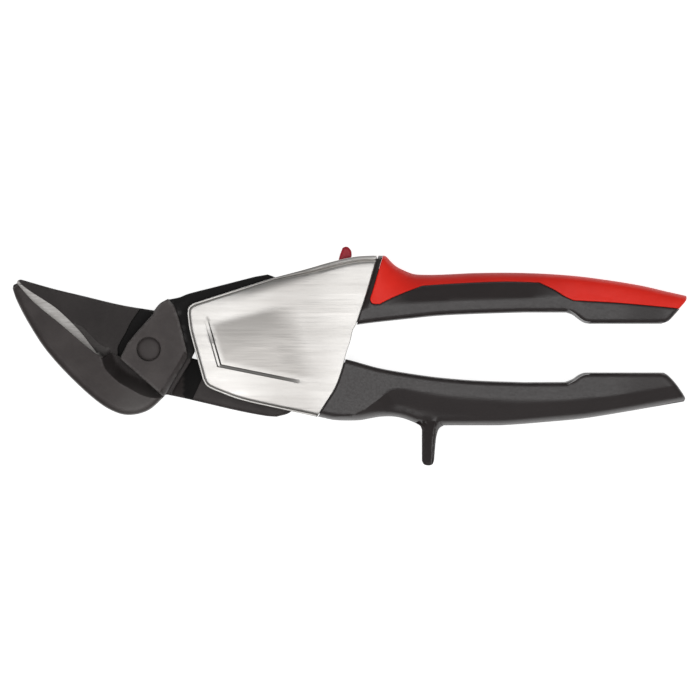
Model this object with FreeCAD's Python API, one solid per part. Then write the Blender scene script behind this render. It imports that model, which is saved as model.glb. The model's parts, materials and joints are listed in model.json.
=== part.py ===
import FreeCAD, Part
import math
import os

# Compound-lever aviation snips, offset left-hand pattern, drawn lying flat and closed.
# Everything is laid out in millimetres round the blade pivot: +X runs to the grips,
# +Y to the upper grip, +Z out of the front cover.  Z = 0 is the plane the blades shear in.
# The last step moves all of it so that the middle of its underside is the origin.

Vec = FreeCAD.Vector

# ---- driving dimensions (mm) ----
SHEAR_GAP = 0.05        # each blade stands this far off the shear plane
CORE_GAP = 0.15         # each handle core stands this far off the shear plane
LAYER = 5.0             # outer face of levers and cores
FRONT_BOSS = 8.0        # outer face of the front pivot boss
REAR_BOSS = 6.5         # outer face of the rear pivot boss
COVER_FACE = 9.5        # outer face of the covers and half thickness of the grips
SHEET = 1.2             # cover sheet thickness
COVER_LIP = 7.0         # free edge of the short cover flange
PAD_RISE = 1.0          # height of the pressed pad on the front cover
BORE = 4.0              # radius of bolt and lever pins
RUNNING = 0.05          # radial running fit
BUSH_WALL = 1.2         # wall of the two bushes, with their fit
OPEN_PIVOT_ROOM = 0.45  # radial room at the lower lever pin, which takes up the linkage error
NUT_SEAT = 8.4          # radius of the spot face under the blade nut
HANDLE_PIN = 3.5        # radius of the handle pivot pin
HUB = 5.6               # radius of the core hubs round the handle pivot
DISC = 4.7              # radius of the visible bolt head
EDGE_GAP = 0.5          # slit between the cover and the swinging grip
GRIP_CHAMFER = 3.6      # broad chamfer along the grips
GRIP_THINS_FROM = 196.0 # the grips get thinner from here to their tips
GRIP_TIP_LOSS = 2.6     # half thickness lost at the tips
GRIP_TIP_RUN = 27.0     # length over which it is lost
SPUR_HALF = 6.5         # half width of the finger spur
BOLT_SINK = 1.6         # depth of the bolt head's seat in the front boss
NUT_ACROSS = 13.0       # across flats of the blade nut
WASHER_LOW = 0.7        # far face of the spring washer under the rear boss
CLIP = 1.0              # thickness of the retaining rings
CLIP_RADIUS = 6.4       # outer radius of the retaining rings
PIN_HEAD = 1.4          # height of the pin heads
POST = 2.5              # radius of the rear cover post
SCREW_CORE = 1.5        # radius of the cover screws' threads
SCREW_DEPTH = 3.0       # the tapped holes stop this far from the shear plane
SCREW_SEAT = 3.4        # radius of the screw recesses in the rear cover
SCREW_SEAT_DEPTH = 0.7  # depth of those recesses
SCREW_HEAD = 3.1        # radius of the screw heads
ROD = 1.5               # radius of the spring post and spring stop
LATCH_PIN = 2.0         # radius of the latch pin
TAB_COVER = 0.25        # wall of the thumb tab over the latch lever
BLOCK = 300.0           # side of the blocks that cut along tilted planes
LATCH_BACK = 0.5        # rear face of the latch lever
LATCH_FRONT = 3.5       # front face of the latch lever
THROUGH = 40.0          # tall enough to cut through everything

BLADE_PIVOT = (0.0, 0.0)
HANDLE_PIVOT = (25.0, 0.5)
UPPER_PIN = (50.0, 21.0)
LOWER_PIN = (53.0, -18.5)
LATCH_PIVOT = (77.0, 30.5)
SCREW_POST = (84.0, 26.0)
SPRING_POST = (33.0, 13.0)
SPRING_STOP = (41.0, -7.5)
SPRING_WIRE = 0.8       # radius of the spring wire
SPRING_BEND = 4.6       # radius its bend runs at, round the handle pivot


# ---- drawing helpers ----
def line_edges(points, z):
    return [Part.makeLine(Vec(a[0], a[1], z), Vec(b[0], b[1], z))
            for a, b in zip(points, points[1:])]


def curve_edge(points, z):
    curve = Part.BSplineCurve()
    curve.interpolate([Vec(x, y, z) for x, y in points])
    return curve.toShape()


def outline(stretches, z=0.0):
    """Closed wire from ("line", points) and ("curve", points) stretches, each carrying
    on from the last point of the one before."""
    edges = []
    last = None
    first = None
    for kind, points in stretches:
        path = list(points) if last is None else [last] + list(points)
        if first is None:
            first = path[0]
        if kind == "line":
            edges += line_edges(path, z)
        else:
            edges.append(curve_edge(path, z))
        last = path[-1]
    if last != first:
        edges += line_edges([last, first], z)
    return Part.Wire(edges)


def plate(stretches, z_low, z_high):
    face = Part.Face(outline(stretches, z_low))
    return face.extrude(Vec(0, 0, z_high - z_low))


def prism(points, z_low, z_high):
    return plate([("line", points)], z_low, z_high)


def disc(centre, radius, z_low, z_high):
    return Part.makeCylinder(radius, z_high - z_low, Vec(centre[0], centre[1], z_low))


def tilted_block(p, q, r, base):
    """Big block standing on the plane through three points, its foot raised by base."""
    a, b, c = Vec(*p), Vec(*q), Vec(*r)
    normal = (b - a).cross(c - a)
    normal.normalize()
    if normal.z < 0:
        normal = normal * -1
    block = Part.makeBox(BLOCK, BLOCK, BLOCK, Vec(-BLOCK / 2, -BLOCK / 2, base))
    turn = FreeCAD.Rotation(Vec(0, 0, 1), normal)
    block.Placement = FreeCAD.Placement(a, turn)
    return block


def below_plane(p, q, r):
    return tilted_block(p, q, r, -BLOCK)


def above_plane(p, q, r):
    return tilted_block(p, q, r, 0.0)


def solid(shape):
    """The shape as one clean solid."""
    shape = shape.removeSplitter()
    return shape.Solids[0] if len(shape.Solids) == 1 else shape


# ---- blades ----
def front_boss_outline():
    return [("line", [(-12.0, -4.0), (-9.0, 2.3), (-4.9, 7.2), (1.7, 14.4), (2.2, 16.0)]),
            ("curve", [(4.6, 18.9), (7.9, 20.8)]),
            ("curve", [(11.0, 16.9), (14.6, 4.6), (16.3, -3.2)]),
            ("line", [(6.6, -19.2), (5.6, -19.5)])]


def front_lever():
    """Lever arm of the front forging, stepped down from its boss."""
    arm = plate([("line", [(5.0, 0.0), (7.0, 20.6)]),
                 ("curve", [(12.5, 21.5), (16.0, 22.9), (28.0, 26.0), (44.0, 30.2)]),
                 ("line", [(50.0, 21.0), (50.0, 11.4), (34.0, 9.6), (27.0, 8.8)]),
                 ("curve", [(20.6, 6.2), (17.9, -1.5)]),
                 ("line", [(16.0, -4.0), (5.0, -10.0)])], SHEAR_GAP, LAYER)
    arm = arm.fuse(disc(UPPER_PIN, 9.9, SHEAR_GAP, LAYER))
    inner = [(40.0, 10.3), (50.0, 21.0), (57.0, 14.0), (50.0, 11.1)]
    return arm.fuse(prism(inner, SHEAR_GAP, LAYER))


def lower_blade():
    """Front forging: lower blade, pivot boss and upper lever in one piece."""
    cutting_edge = [(-55.1, 27.3), (-48.0, 19.5), (-35.9, 9.5), (-25.4, 0.5), (-20.0, -3.3)]
    belly = [(0.2, -25.1), (-6.0, -27.2), (-12.1, -26.8), (-20.0, -22.8), (-32.0, -12.3),
             (-42.9, -0.3), (-50.0, 10.5), (-54.9, 19.7), (-56.9, 25.2)]
    blade = plate([("curve", cutting_edge),
                   ("line", [(-11.5, -4.0), (0.0, 0.0), (6.3, -19.4)]),
                   ("curve", belly),
                   ("curve", [(-56.4, 26.6), (-55.1, 27.3)])], SHEAR_GAP, 12.0)
    face = below_plane((-55.0, 27.0, 2.2), (-20.0, -3.3, 4.6), (-10.0, -27.0, 9.2))
    blade = blade.common(face)
    # hollow running down from the blade face to the foot of the boss
    hollow = prism([(-19.8, -3.0), (-11.5, -3.6), (6.2, -20.2), (1.5, -19.6), (-8.0, -16.2),
                    (-15.7, -11.0), (-18.6, -8.0)], 0.0, THROUGH)
    floor = above_plane((-15.7, -11.0, 7.4), (1.5, -19.6, 8.4), (-11.5, -3.6, 3.6))
    blade = blade.cut(hollow.common(floor))
    boss = plate(front_boss_outline(), SHEAR_GAP, FRONT_BOSS)
    corner = [(16.8, -3.0), (19.5, -6.0), (9.0, -23.0), (3.0, -19.5), (5.2, -17.9), (14.6, -2.6)]
    slope = above_plane((15.0, -2.9, 8.0), (5.4, -17.9, 8.0), (8.0, -20.8, 5.0))
    boss = boss.cut(prism(corner, 0.0, THROUGH).common(slope))
    body = blade.fuse([boss, front_lever()])
    body = body.cut(disc(BLADE_PIVOT, BORE, -1, THROUGH))
    body = body.cut(disc(BLADE_PIVOT, DISC + 0.25, FRONT_BOSS - BOLT_SINK, THROUGH))
    return solid(body.cut(disc(UPPER_PIN, BORE + BUSH_WALL, -1, THROUGH)))


def rear_lever():
    """Lever arm of the rear forging."""
    arm = plate([("line", [(6.0, -5.0), (16.8, 2.0), (17.9, -4.6)]),
                 ("curve", [(21.0, -6.4), (27.0, -7.2)]),
                 ("line", [(34.0, -8.6), (53.0, -9.6), (53.0, -18.5), (53.0, -28.0)]),
                 ("curve", [(48.0, -27.9), (36.0, -25.5), (16.3, -20.9), (7.1, -19.0)])],
                -LAYER, -SHEAR_GAP)
    return arm.fuse(disc(LOWER_PIN, 9.5, -LAYER, -SHEAR_GAP))


def upper_blade():
    """Rear forging: upper blade, rear boss and lower lever in one piece."""
    blade = plate([("curve", [(-54.7, 25.6), (-47.0, 16.9), (-38.0, 8.2), (-24.0, -5.6)]),
                   ("line", [(-14.0, -9.0), (0.0, -6.0), (6.0, 10.0), (2.2, 16.0)]),
                   ("curve", [(-12.1, 18.4), (-28.0, 22.2), (-40.0, 25.1), (-53.3, 28.9)]),
                   ("curve", [(-54.6, 28.7), (-55.2, 27.4)])], -12.0, -SHEAR_GAP)
    face = above_plane((-54.0, 28.0, -2.2), (-24.0, -5.0, -3.6), (-8.0, 17.5, -6.4))
    blade = blade.common(face)
    # relief behind the ground cutting strip, and the pocket the front boss swings in
    relief = plate([("line", [(-52.6, 26.2)]),
                    ("curve", [(-44.2, 20.3), (-34.2, 12.8), (-24.9, 6.0), (-16.0, -0.8)]),
                    ("line", [(-13.4, -1.0)]),
                    ("curve", [(-9.8, 7.4), (-4.4, 15.6)]),
                    ("line", [(-12.1, 17.4)]),
                    ("curve", [(-28.0, 21.2), (-40.0, 24.2), (-50.0, 27.0)])], -0.55, 1.0)
    blade = blade.cut(relief)
    pocket = plate([("line", [(-14.6, 1.5), (-13.2, 1.2)]),
                    ("curve", [(-9.4, 8.6), (-3.4, 17.6)]),
                    ("line", [(2.4, 17.6), (2.2, 14.0), (-6.0, 5.0), (-12.0, -5.0)]),
                    ("line", [(-14.6, -4.6)])], -2.0, 1.0)
    boss = plate([("line", [(-13.5, -7.0)]),
                  ("curve", [(-13.0, 0.0), (-7.5, 10.5), (0.0, 15.2)]),
                  ("line", [(7.0, 16.0)]),
                  ("curve", [(12.5, 9.0), (16.4, 2.0), (17.6, -4.6)]),
                  ("line", [(8.9, -19.0), (4.0, -19.0)])], -REAR_BOSS, -SHEAR_GAP)
    body = blade.fuse([boss, rear_lever()]).cut(pocket)
    body = body.cut(disc(BLADE_PIVOT, BORE + BUSH_WALL, -THROUGH, 1))
    body = body.cut(disc(BLADE_PIVOT, NUT_SEAT, -THROUGH, -REAR_BOSS))
    return solid(body.cut(disc(LOWER_PIN, BORE + OPEN_PIVOT_ROOM, -THROUGH, 1)))


def ring(centre, inner, outer, z_low, z_high):
    return disc(centre, outer, z_low, z_high).cut(disc(centre, inner, z_low - 1, z_high + 1))


def blade_bush():
    return ring(BLADE_PIVOT, BORE + RUNNING, BORE + BUSH_WALL, -REAR_BOSS, -SHEAR_GAP)


def blade_bolt():
    shoulder = FRONT_BOSS - BOLT_SINK
    shank = disc(BLADE_PIVOT, BORE, 0.2 - COVER_FACE, shoulder)
    return shank.fuse(disc(BLADE_PIVOT, DISC, shoulder, FRONT_BOSS - 0.1)).removeSplitter()


def blade_washer():
    return ring(BLADE_PIVOT, BORE, 7.6, -REAR_BOSS - WASHER_LOW, -REAR_BOSS - 0.1)


def blade_nut():
    corner_radius = NUT_ACROSS / math.cos(math.radians(30)) / 2
    corners = [(corner_radius * math.cos(math.radians(60 * i + 12)),
                corner_radius * math.sin(math.radians(60 * i + 12))) for i in range(6)]
    nut = prism(corners, 0.2 - COVER_FACE, -REAR_BOSS - WASHER_LOW)
    return nut.cut(disc(BLADE_PIVOT, BORE, -THROUGH, 0))


def upper_lever_bush():
    return ring(UPPER_PIN, BORE + RUNNING, BORE + BUSH_WALL, SHEAR_GAP, LAYER)


# ---- grips ----
# stations along a grip: x, lower edge, upper edge
UPPER_STATIONS = [(82.0, 7.6, 38.9), (95.0, 11.2, 38.8), (97.6, 11.4, 38.6), (100.4, 11.7, 36.3),
                  (102.7, 12.0, 34.2), (105.6, 12.4, 32.8), (112.7, 13.2, 30.9),
                  (128.6, 14.2, 31.3), (150.0, 14.8, 31.6), (173.9, 15.0, 30.6),
                  (178.4, 12.0, 30.0), (181.9, 10.6, 29.6), (196.0, 10.5, 27.6),
                  (212.6, 10.5, 24.6), (215.9, 12.1, 23.7), (220.0, 16.6, 22.7),
                  (223.2, 20.6, 22.2)]
LOWER_STATIONS = [(66.0, -28.2, -1.2), (73.0, -29.0, -2.6), (82.0, -29.7, -4.4),
                  (90.9, -29.0, -6.4), (99.8, -28.0, -8.8), (108.0, -29.7, -10.1),
                  (113.0, -31.6, -10.9), (136.0, -31.6, -13.1), (156.0, -31.1, -13.8),
                  (173.0, -29.7, -13.6), (178.4, -29.0, -11.0), (181.9, -28.6, -9.8),
                  (196.0, -26.4, -9.8), (213.7, -23.4, -9.8), (215.9, -23.0, -11.6),
                  (220.0, -22.2, -16.3), (222.7, -21.8, -20.8)]


def grip_bar(stations):
    """Bar lofted through eight-sided sections."""
    wires = []
    for x, low, high in stations:
        thinned = max(0.0, x - GRIP_THINS_FROM) / GRIP_TIP_RUN
        half = COVER_FACE - GRIP_TIP_LOSS * thinned
        cut = min(GRIP_CHAMFER, 0.3 * (high - low))
        section = [(low + cut, -half), (high - cut, -half), (high, cut - half),
                   (high, half - cut), (high - cut, half), (low + cut, half),
                   (low, half - cut), (low, cut - half)]
        corners = [Vec(x, y, z) for y, z in section]
        wires.append(Part.makePolygon(corners + [corners[0]]))
    return Part.makeLoft(wires, True, True)


def inlay_region():
    """Everything above the lower border of the red inlay."""
    return plate([("line", [(96.9, 37.4)]),
                  ("line", [(92.4, 23.3)]),
                  ("curve", [(91.6, 20.6), (92.6, 18.8), (95.6, 18.6)]),
                  ("curve", [(100.1, 20.9), (106.2, 23.5), (113.3, 26.2)]),
                  ("curve", [(128.6, 27.2), (147.7, 27.9), (161.8, 27.5)]),
                  ("curve", [(168.1, 24.4), (175.9, 20.1)]),
                  ("curve", [(194.9, 19.0), (212.0, 17.5), (219.9, 16.7)]),
                  ("line", [(230.0, 16.0), (230.0, 50.0), (96.9, 50.0)])], -20.0, 20.0)


def upper_core():
    """Flat steel core of the upper handle, in the rear layer."""
    core = plate([("line", [(22.0, 5.2)]),
                  ("curve", [(34.0, 15.0), (41.0, 25.0), (47.0, 28.4)]),
                  ("line", [(60.0, 28.6), (80.0, 34.0), (90.0, 35.0)]),
                  ("curve", [(98.0, 32.0), (106.0, 28.0), (114.0, 26.6)]),
                  ("line", [(160.0, 26.6), (170.0, 20.4), (198.0, 17.6), (199.0, 14.6)]),
                  ("line", [(184.0, 14.2), (174.0, 17.8), (112.0, 16.6)]),
                  ("curve", [(98.0, 15.6), (84.0, 13.0)]),
                  ("line", [(60.0, 8.0), (42.0, 3.0), (28.0, -4.2)])], -LAYER, -CORE_GAP)
    return core.fuse(disc(HANDLE_PIVOT, HUB, -LAYER, -CORE_GAP))


def upper_handle_core():
    core = upper_core()
    for centre, radius in ((HANDLE_PIVOT, HANDLE_PIN), (UPPER_PIN, BORE), (SCREW_POST, POST),
                           (LATCH_PIVOT, LATCH_PIN)):
        core = core.cut(disc(centre, radius, -THROUGH, THROUGH))
    return solid(core)


def cover_side():
    """Region to the left of the upper grip."""
    return plate([("line", [(85.6, 6.0), (86.1, 10.1)]),
                  ("curve", [(90.4, 22.8), (95.4, 40.0)]),
                  ("line", [(20.0, 40.0), (20.0, 6.0)])], -20.0, 20.0)


def upper_grip():
    grip = grip_bar(UPPER_STATIONS).cut(cover_side())
    return solid(grip.cut(inlay_region()).cut(upper_core()))


def upper_grip_inlay():
    grip = grip_bar(UPPER_STATIONS).cut(cover_side())
    return solid(grip.common(inlay_region()).cut(upper_core()))


SWING_EDGE = [(81.8, -1.9), (80.1, -8.4), (77.4, -15.8), (73.3, -22.5), (69.8, -28.1)]


def lower_core():
    """Flat steel core of the lower handle, in the front layer, with the catch nose."""
    core = plate([("line", [(26.0, 5.9), (40.0, 1.0), (60.0, -4.4), (84.0, -8.4)]),
                  ("curve", [(98.0, -12.8), (112.0, -15.6), (150.0, -18.0)]),
                  ("line", [(174.0, -18.0), (184.0, -13.6), (198.0, -13.6)]),
                  ("line", [(199.0, -18.0), (172.0, -24.6), (150.0, -27.0), (112.0, -26.0)]),
                  ("curve", [(92.0, -24.6), (72.0, -24.0)]),
                  ("line", [(53.0, -24.3), (46.0, -19.6), (34.0, -10.0), (21.6, -3.8)])],
                 CORE_GAP, LAYER)
    core = core.fuse(disc(HANDLE_PIVOT, HUB, CORE_GAP, LAYER))
    nose = prism([(74.7, 3.0), (80.4, 3.0), (80.4, -9.0), (77.7, -9.0), (77.7, 0.0), (74.7, 0.0)],
                 CORE_GAP, LAYER)
    return core.fuse(nose)


def lower_handle_core():
    core = lower_core()
    for centre, radius in ((HANDLE_PIVOT, HANDLE_PIN + RUNNING), (LOWER_PIN, BORE),
                           (SPRING_STOP, ROD)):
        core = core.cut(disc(centre, radius, -THROUGH, THROUGH))
    return solid(core)


def finger_spur():
    """Finger guard hanging under the lower grip."""
    return plate([("line", [(111.0, -24.0), (111.6, -31.0)]),
                  ("curve", [(112.7, -31.8), (113.3, -33.4)]),
                  ("line", [(113.3, -46.0)]),
                  ("curve", [(115.9, -48.3), (118.3, -46.1)]),
                  ("curve", [(118.7, -40.0), (121.6, -31.2)]),
                  ("line", [(122.0, -24.0)])], -SPUR_HALF, SPUR_HALF)


def lower_grip():
    moved = [(x + EDGE_GAP, y) for x, y in SWING_EDGE]
    cover_part = plate([("line", [(82.6 + EDGE_GAP, 2.0)]),
                        ("curve", moved),
                        ("line", [(68.0, -34.0), (40.0, -34.0), (40.0, 2.0)])], -20.0, 20.0)
    grip = grip_bar(LOWER_STATIONS).fuse(finger_spur()).cut(cover_part)
    return solid(grip.cut(lower_core()))


# ---- covers ----
def cover_stretches(inset):
    """Outline of a cover, drawn in by an inset."""
    def at(x, y, toward=(55.0, 4.0)):
        dx, dy = toward[0] - x, toward[1] - y
        reach = math.hypot(dx, dy)
        return (x + inset * 1.25 * dx / reach, y + inset * 1.25 * dy / reach)
    lower_right = [at(x, y) for x, y in SWING_EDGE]
    return [("line", [at(16.0, 15.6)]),
            ("curve", [at(16.9, 8.0), at(20.0, -3.7), at(22.4, -12.5)]),
            ("curve", [at(23.8, -15.0), at(26.2, -16.6)]),
            ("line", [at(35.9, -20.3), lower_right[-1]]),
            ("curve", lower_right[-2::-1]),
            ("curve", [at(85.9, 10.1), at(90.1, 22.8), at(94.7, 38.8)]),
            ("curve", [at(88.6, 38.6), at(76.2, 36.3), at(64.0, 32.8)]),
            ("line", [at(20.0, 19.5)]),
            ("curve", [at(17.1, 17.9), at(16.0, 15.6)])]


def loft_between(low_wire, high_wire):
    return Part.makeLoft([low_wire, high_wire], True, True)


def pressed_pad(inset, z_low, z_high, z_deep):
    """Low raised field of the front cover, steep on the left and below, soft elsewhere."""
    foot = [(23.3 + inset, 11.4), (28.6 + inset, -7.3 + inset), (59.8, -13.9 + inset),
            (68.0 - inset, -6.0), (66.0 - inset, 17.0), (50.0, 20.4 - inset),
            (25.4 + inset, 13.6 - inset)]
    head = [(25.8 + inset, 8.8), (30.2 + inset, -5.9 + inset), (58.6, -12.2 + inset),
            (61.0 - inset, -6.0), (59.6 - inset, 12.4), (48.0, 15.6 - inset),
            (28.2 + inset, 10.0 - inset)]
    low = Part.makePolygon([Vec(x, y, z_low) for x, y in foot + [foot[0]]])
    high = Part.makePolygon([Vec(x, y, z_high) for x, y in head + [head[0]]])
    pad = loft_between(low, high)
    if z_deep == z_low:
        return pad
    return pad.fuse(Part.Face(low).extrude(Vec(0, 0, z_deep - z_low)))


def front_cover_block(inset, z_low, z_high):
    shoulder = 0.8
    body = plate(cover_stretches(inset), z_low, z_high - shoulder)
    low = outline(cover_stretches(inset), z_high - shoulder)
    high = outline(cover_stretches(inset + shoulder), z_high)
    return body.fuse(loft_between(low, high))


def top_wall():
    """Rolled upper side of a cover, with the slot the latch tab comes through."""
    outer = [(58.0, 31.3), (76.2, 36.25), (88.6, 38.55), (94.6, 38.8)]
    inner = [(x, y - SHEET) for x, y in reversed(outer[:-1])]
    wall = plate([("line", outer[:1]), ("curve", outer[1:]),
                  ("line", [(94.2, 38.8 - SHEET)]), ("curve", inner)], 0.2, COVER_LIP + 0.5)
    slot = Part.makeBox(8.2, 20.0, 4.6, Vec(77.2, 25.0, 0.0))
    return wall.cut(slot)


def cover_shell():
    outer = front_cover_block(0.0, COVER_LIP, COVER_FACE)
    inner = plate(cover_stretches(SHEET), COVER_LIP - 1, COVER_FACE - SHEET)
    return outer.cut(inner).fuse(top_wall())


def cover_front():
    shell = cover_shell()
    shell = shell.fuse(pressed_pad(0.0, COVER_FACE, COVER_FACE + PAD_RISE, COVER_FACE))
    hollow = pressed_pad(SHEET, COVER_FACE - SHEET, COVER_FACE + PAD_RISE - SHEET,
                         COVER_FACE - SHEET - 1.0)
    return solid(shell.cut(hollow))


SCREW_SEATS = (HANDLE_PIVOT, UPPER_PIN, SCREW_POST)


def cover_rear():
    shell = cover_shell().mirror(Vec(0, 0, 0), Vec(0, 0, 1))
    for seat in SCREW_SEATS:
        shell = shell.cut(disc(seat, SCREW_CORE + 0.1, -THROUGH, 0))
        shell = shell.cut(disc(seat, SCREW_SEAT, -THROUGH, SCREW_SEAT_DEPTH - COVER_FACE))
    return solid(shell)


def cover_screws():
    """Three countersunk screws holding the rear cover."""
    screws = []
    for seat in SCREW_SEATS:
        seat_face = SCREW_SEAT_DEPTH - COVER_FACE
        head = disc(seat, SCREW_HEAD, 0.05 - COVER_FACE, seat_face)
        shank = disc(seat, SCREW_CORE, seat_face, -SCREW_DEPTH)
        recess = disc(seat, 1.3, -THROUGH, 0.5 - COVER_FACE)
        screws.append(head.fuse(shank).cut(recess).removeSplitter())
    return Part.makeCompound(screws)


def hollow_post(centre, radius, z_low, z_high):
    """Post between the covers, tapped from the rear for a screw."""
    post = disc(centre, radius, z_low, z_high)
    return post.cut(disc(centre, SCREW_CORE, z_low - 1, -SCREW_DEPTH))


REAR_INNER = -COVER_FACE + SHEET
FRONT_INNER = COVER_FACE - SHEET


def handle_pivot_pin():
    return hollow_post(HANDLE_PIVOT, HANDLE_PIN, REAR_INNER, FRONT_INNER)


def upper_lever_pin():
    return hollow_post(UPPER_PIN, BORE, REAR_INNER, FRONT_INNER)


def cover_post():
    return hollow_post(SCREW_POST, POST, REAR_INNER, FRONT_INNER)


def pin_spacers():
    """Collars between the rear cover and the core, one on each post."""
    collars = [ring(HANDLE_PIVOT, HANDLE_PIN, 4.4, REAR_INNER, -LAYER),
               ring(UPPER_PIN, BORE, 6.0, REAR_INNER, -LAYER),
               ring(SCREW_POST, POST, 4.0, REAR_INNER, -LAYER)]
    return Part.makeCompound(collars)


def lever_retainer():
    """Retaining ring that keeps the upper lever on its pin."""
    return ring(UPPER_PIN, BORE, CLIP_RADIUS, LAYER + 0.2, LAYER + 0.2 + CLIP)


def lower_lever_pin():
    pin = disc(LOWER_PIN, BORE, -LAYER - PIN_HEAD, LAYER)
    return pin.fuse(disc(LOWER_PIN, 5.6, LAYER, LAYER + PIN_HEAD)).removeSplitter()


def lower_pin_clip():
    return ring(LOWER_PIN, BORE, CLIP_RADIUS, -LAYER - 0.3 - CLIP, -LAYER - 0.3)


# ---- opening spring ----
def tangent_angle(point, radius, side):
    """Direction from the handle pivot to where a line from a point touches a circle."""
    dx = point[0] - HANDLE_PIVOT[0]
    dy = point[1] - HANDLE_PIVOT[1]
    return math.atan2(dy, dx) + side * math.acos(radius / math.hypot(dx, dy))


def opening_spring():
    """Hairpin spring bent round the handle pivot; its arms push the cores apart."""
    height = LAYER + 0.3 + SPRING_WIRE
    stand_off = ROD + SPRING_WIRE + 0.1
    lower_end = (SPRING_STOP[0] + 1.0, SPRING_STOP[1] + stand_off)
    upper_end = (SPRING_POST[0] + 3.2, SPRING_POST[1] - 1.2)
    start = tangent_angle(lower_end, SPRING_BEND, -1)
    end = tangent_angle(upper_end, SPRING_BEND, 1) - 2 * math.pi

    def on_bend(angle):
        return Vec(HANDLE_PIVOT[0] + SPRING_BEND * math.cos(angle),
                   HANDLE_PIVOT[1] + SPRING_BEND * math.sin(angle), height)

    lower_tip = Vec(lower_end[0], lower_end[1], height)
    upper_tip = Vec(upper_end[0], upper_end[1], height)
    bend = Part.Arc(on_bend(start), on_bend((start + end) / 2), on_bend(end)).toShape()
    path = Part.Wire([Part.makeLine(lower_tip, on_bend(start)), bend,
                      Part.makeLine(on_bend(end), upper_tip)])
    section = Part.Wire(Part.makeCircle(SPRING_WIRE, lower_tip, on_bend(start) - lower_tip))
    return path.makePipeShell([section], True, True)


def spring_stop():
    return disc(SPRING_STOP, ROD, CORE_GAP, FRONT_INNER - 0.8)


def spring_post():
    return disc(SPRING_POST, ROD, LAYER + 0.3, FRONT_INNER)


# ---- latch ----
def latch_plate():
    """Outline shared by the latch lever and the hollow in its thumb tab."""
    return plate([("line", [(72.6, 31.0), (66.6, 2.0), (66.8, -2.6), (73.4, -2.6)]),
                  ("line", [(73.4, -1.0), (70.6, 0.4), (70.8, 6.0), (76.0, 26.2)]),
                  ("curve", [(80.2, 27.4), (81.4, 31.0)]),
                  ("line", [(82.6, 38.2), (79.6, 38.2), (78.2, 34.3)]),
                  ("curve", [(74.6, 33.6), (72.6, 31.0)])], LATCH_BACK, LATCH_FRONT)


def latch_lever():
    return solid(latch_plate().cut(disc(LATCH_PIVOT, LATCH_PIN + RUNNING, -THROUGH, THROUGH)))


def latch_tab():
    """Moulded thumb tab gripping the upper end of the latch lever."""
    tab = plate([("line", [(78.6, 36.9), (80.3, 42.0)]),
                 ("curve", [(81.5, 42.6), (82.8, 42.2), (84.1, 40.6)]),
                 ("line", [(83.8, 37.4), (83.0, 36.2), (79.0, 36.0)])],
                LATCH_BACK - TAB_COVER, LATCH_FRONT + TAB_COVER)
    return solid(tab.cut(latch_plate()))


def latch_pin():
    head_foot = LATCH_FRONT + 0.2
    pin = disc(LATCH_PIVOT, LATCH_PIN, -LAYER - 1.0, head_foot)
    return pin.fuse(disc(LATCH_PIVOT, 3.4, head_foot, head_foot + 1.2)).removeSplitter()


PARTS = {
    "upper_handle_core": upper_handle_core, "upper_grip": upper_grip,
    "upper_grip_inlay": upper_grip_inlay, "cover_front": cover_front,
    "cover_rear": cover_rear, "cover_screws": cover_screws,
    "handle_pivot_pin": handle_pivot_pin, "upper_lever_pin": upper_lever_pin,
    "cover_post": cover_post, "pin_spacers": pin_spacers, "lever_retainer": lever_retainer,
    "opening_spring": opening_spring, "spring_post": spring_post, "latch_pin": latch_pin,
    "latch_lever": latch_lever, "latch_tab": latch_tab,
    "lower_handle_core": lower_handle_core, "lower_grip": lower_grip,
    "lower_lever_pin": lower_lever_pin, "lower_pin_clip": lower_pin_clip,
    "spring_stop": spring_stop, "lower_blade": lower_blade, "blade_bolt": blade_bolt,
    "blade_washer": blade_washer, "blade_nut": blade_nut,
    "upper_lever_bush": upper_lever_bush, "upper_blade": upper_blade,
    "blade_bush": blade_bush,
}


def build():
    os.makedirs("parts", exist_ok=True)
    shapes = {name: make() for name, make in PARTS.items()}
    box = Part.makeCompound(list(shapes.values())).optimalBoundingBox(False, False)
    middle = (-(box.XMin + box.XMax) / 2, -(box.YMin + box.YMax) / 2, -box.ZMin)
    shift = Vec(*[round(value, 2) for value in middle])
    print("shift", shift, "size", box.XLength, box.YLength, box.ZLength)
    for name, shape in shapes.items():
        shape.translate(shift)
        print(name, shape.isValid(), len(shape.Solids), round(shape.Volume, 1))
        shape.exportStep("parts/" + name + ".step")


build()
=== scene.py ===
import json
import math

import bpy
import numpy as np
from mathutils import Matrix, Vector
from mathutils.geometry import delaunay_2d_cdt


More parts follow.
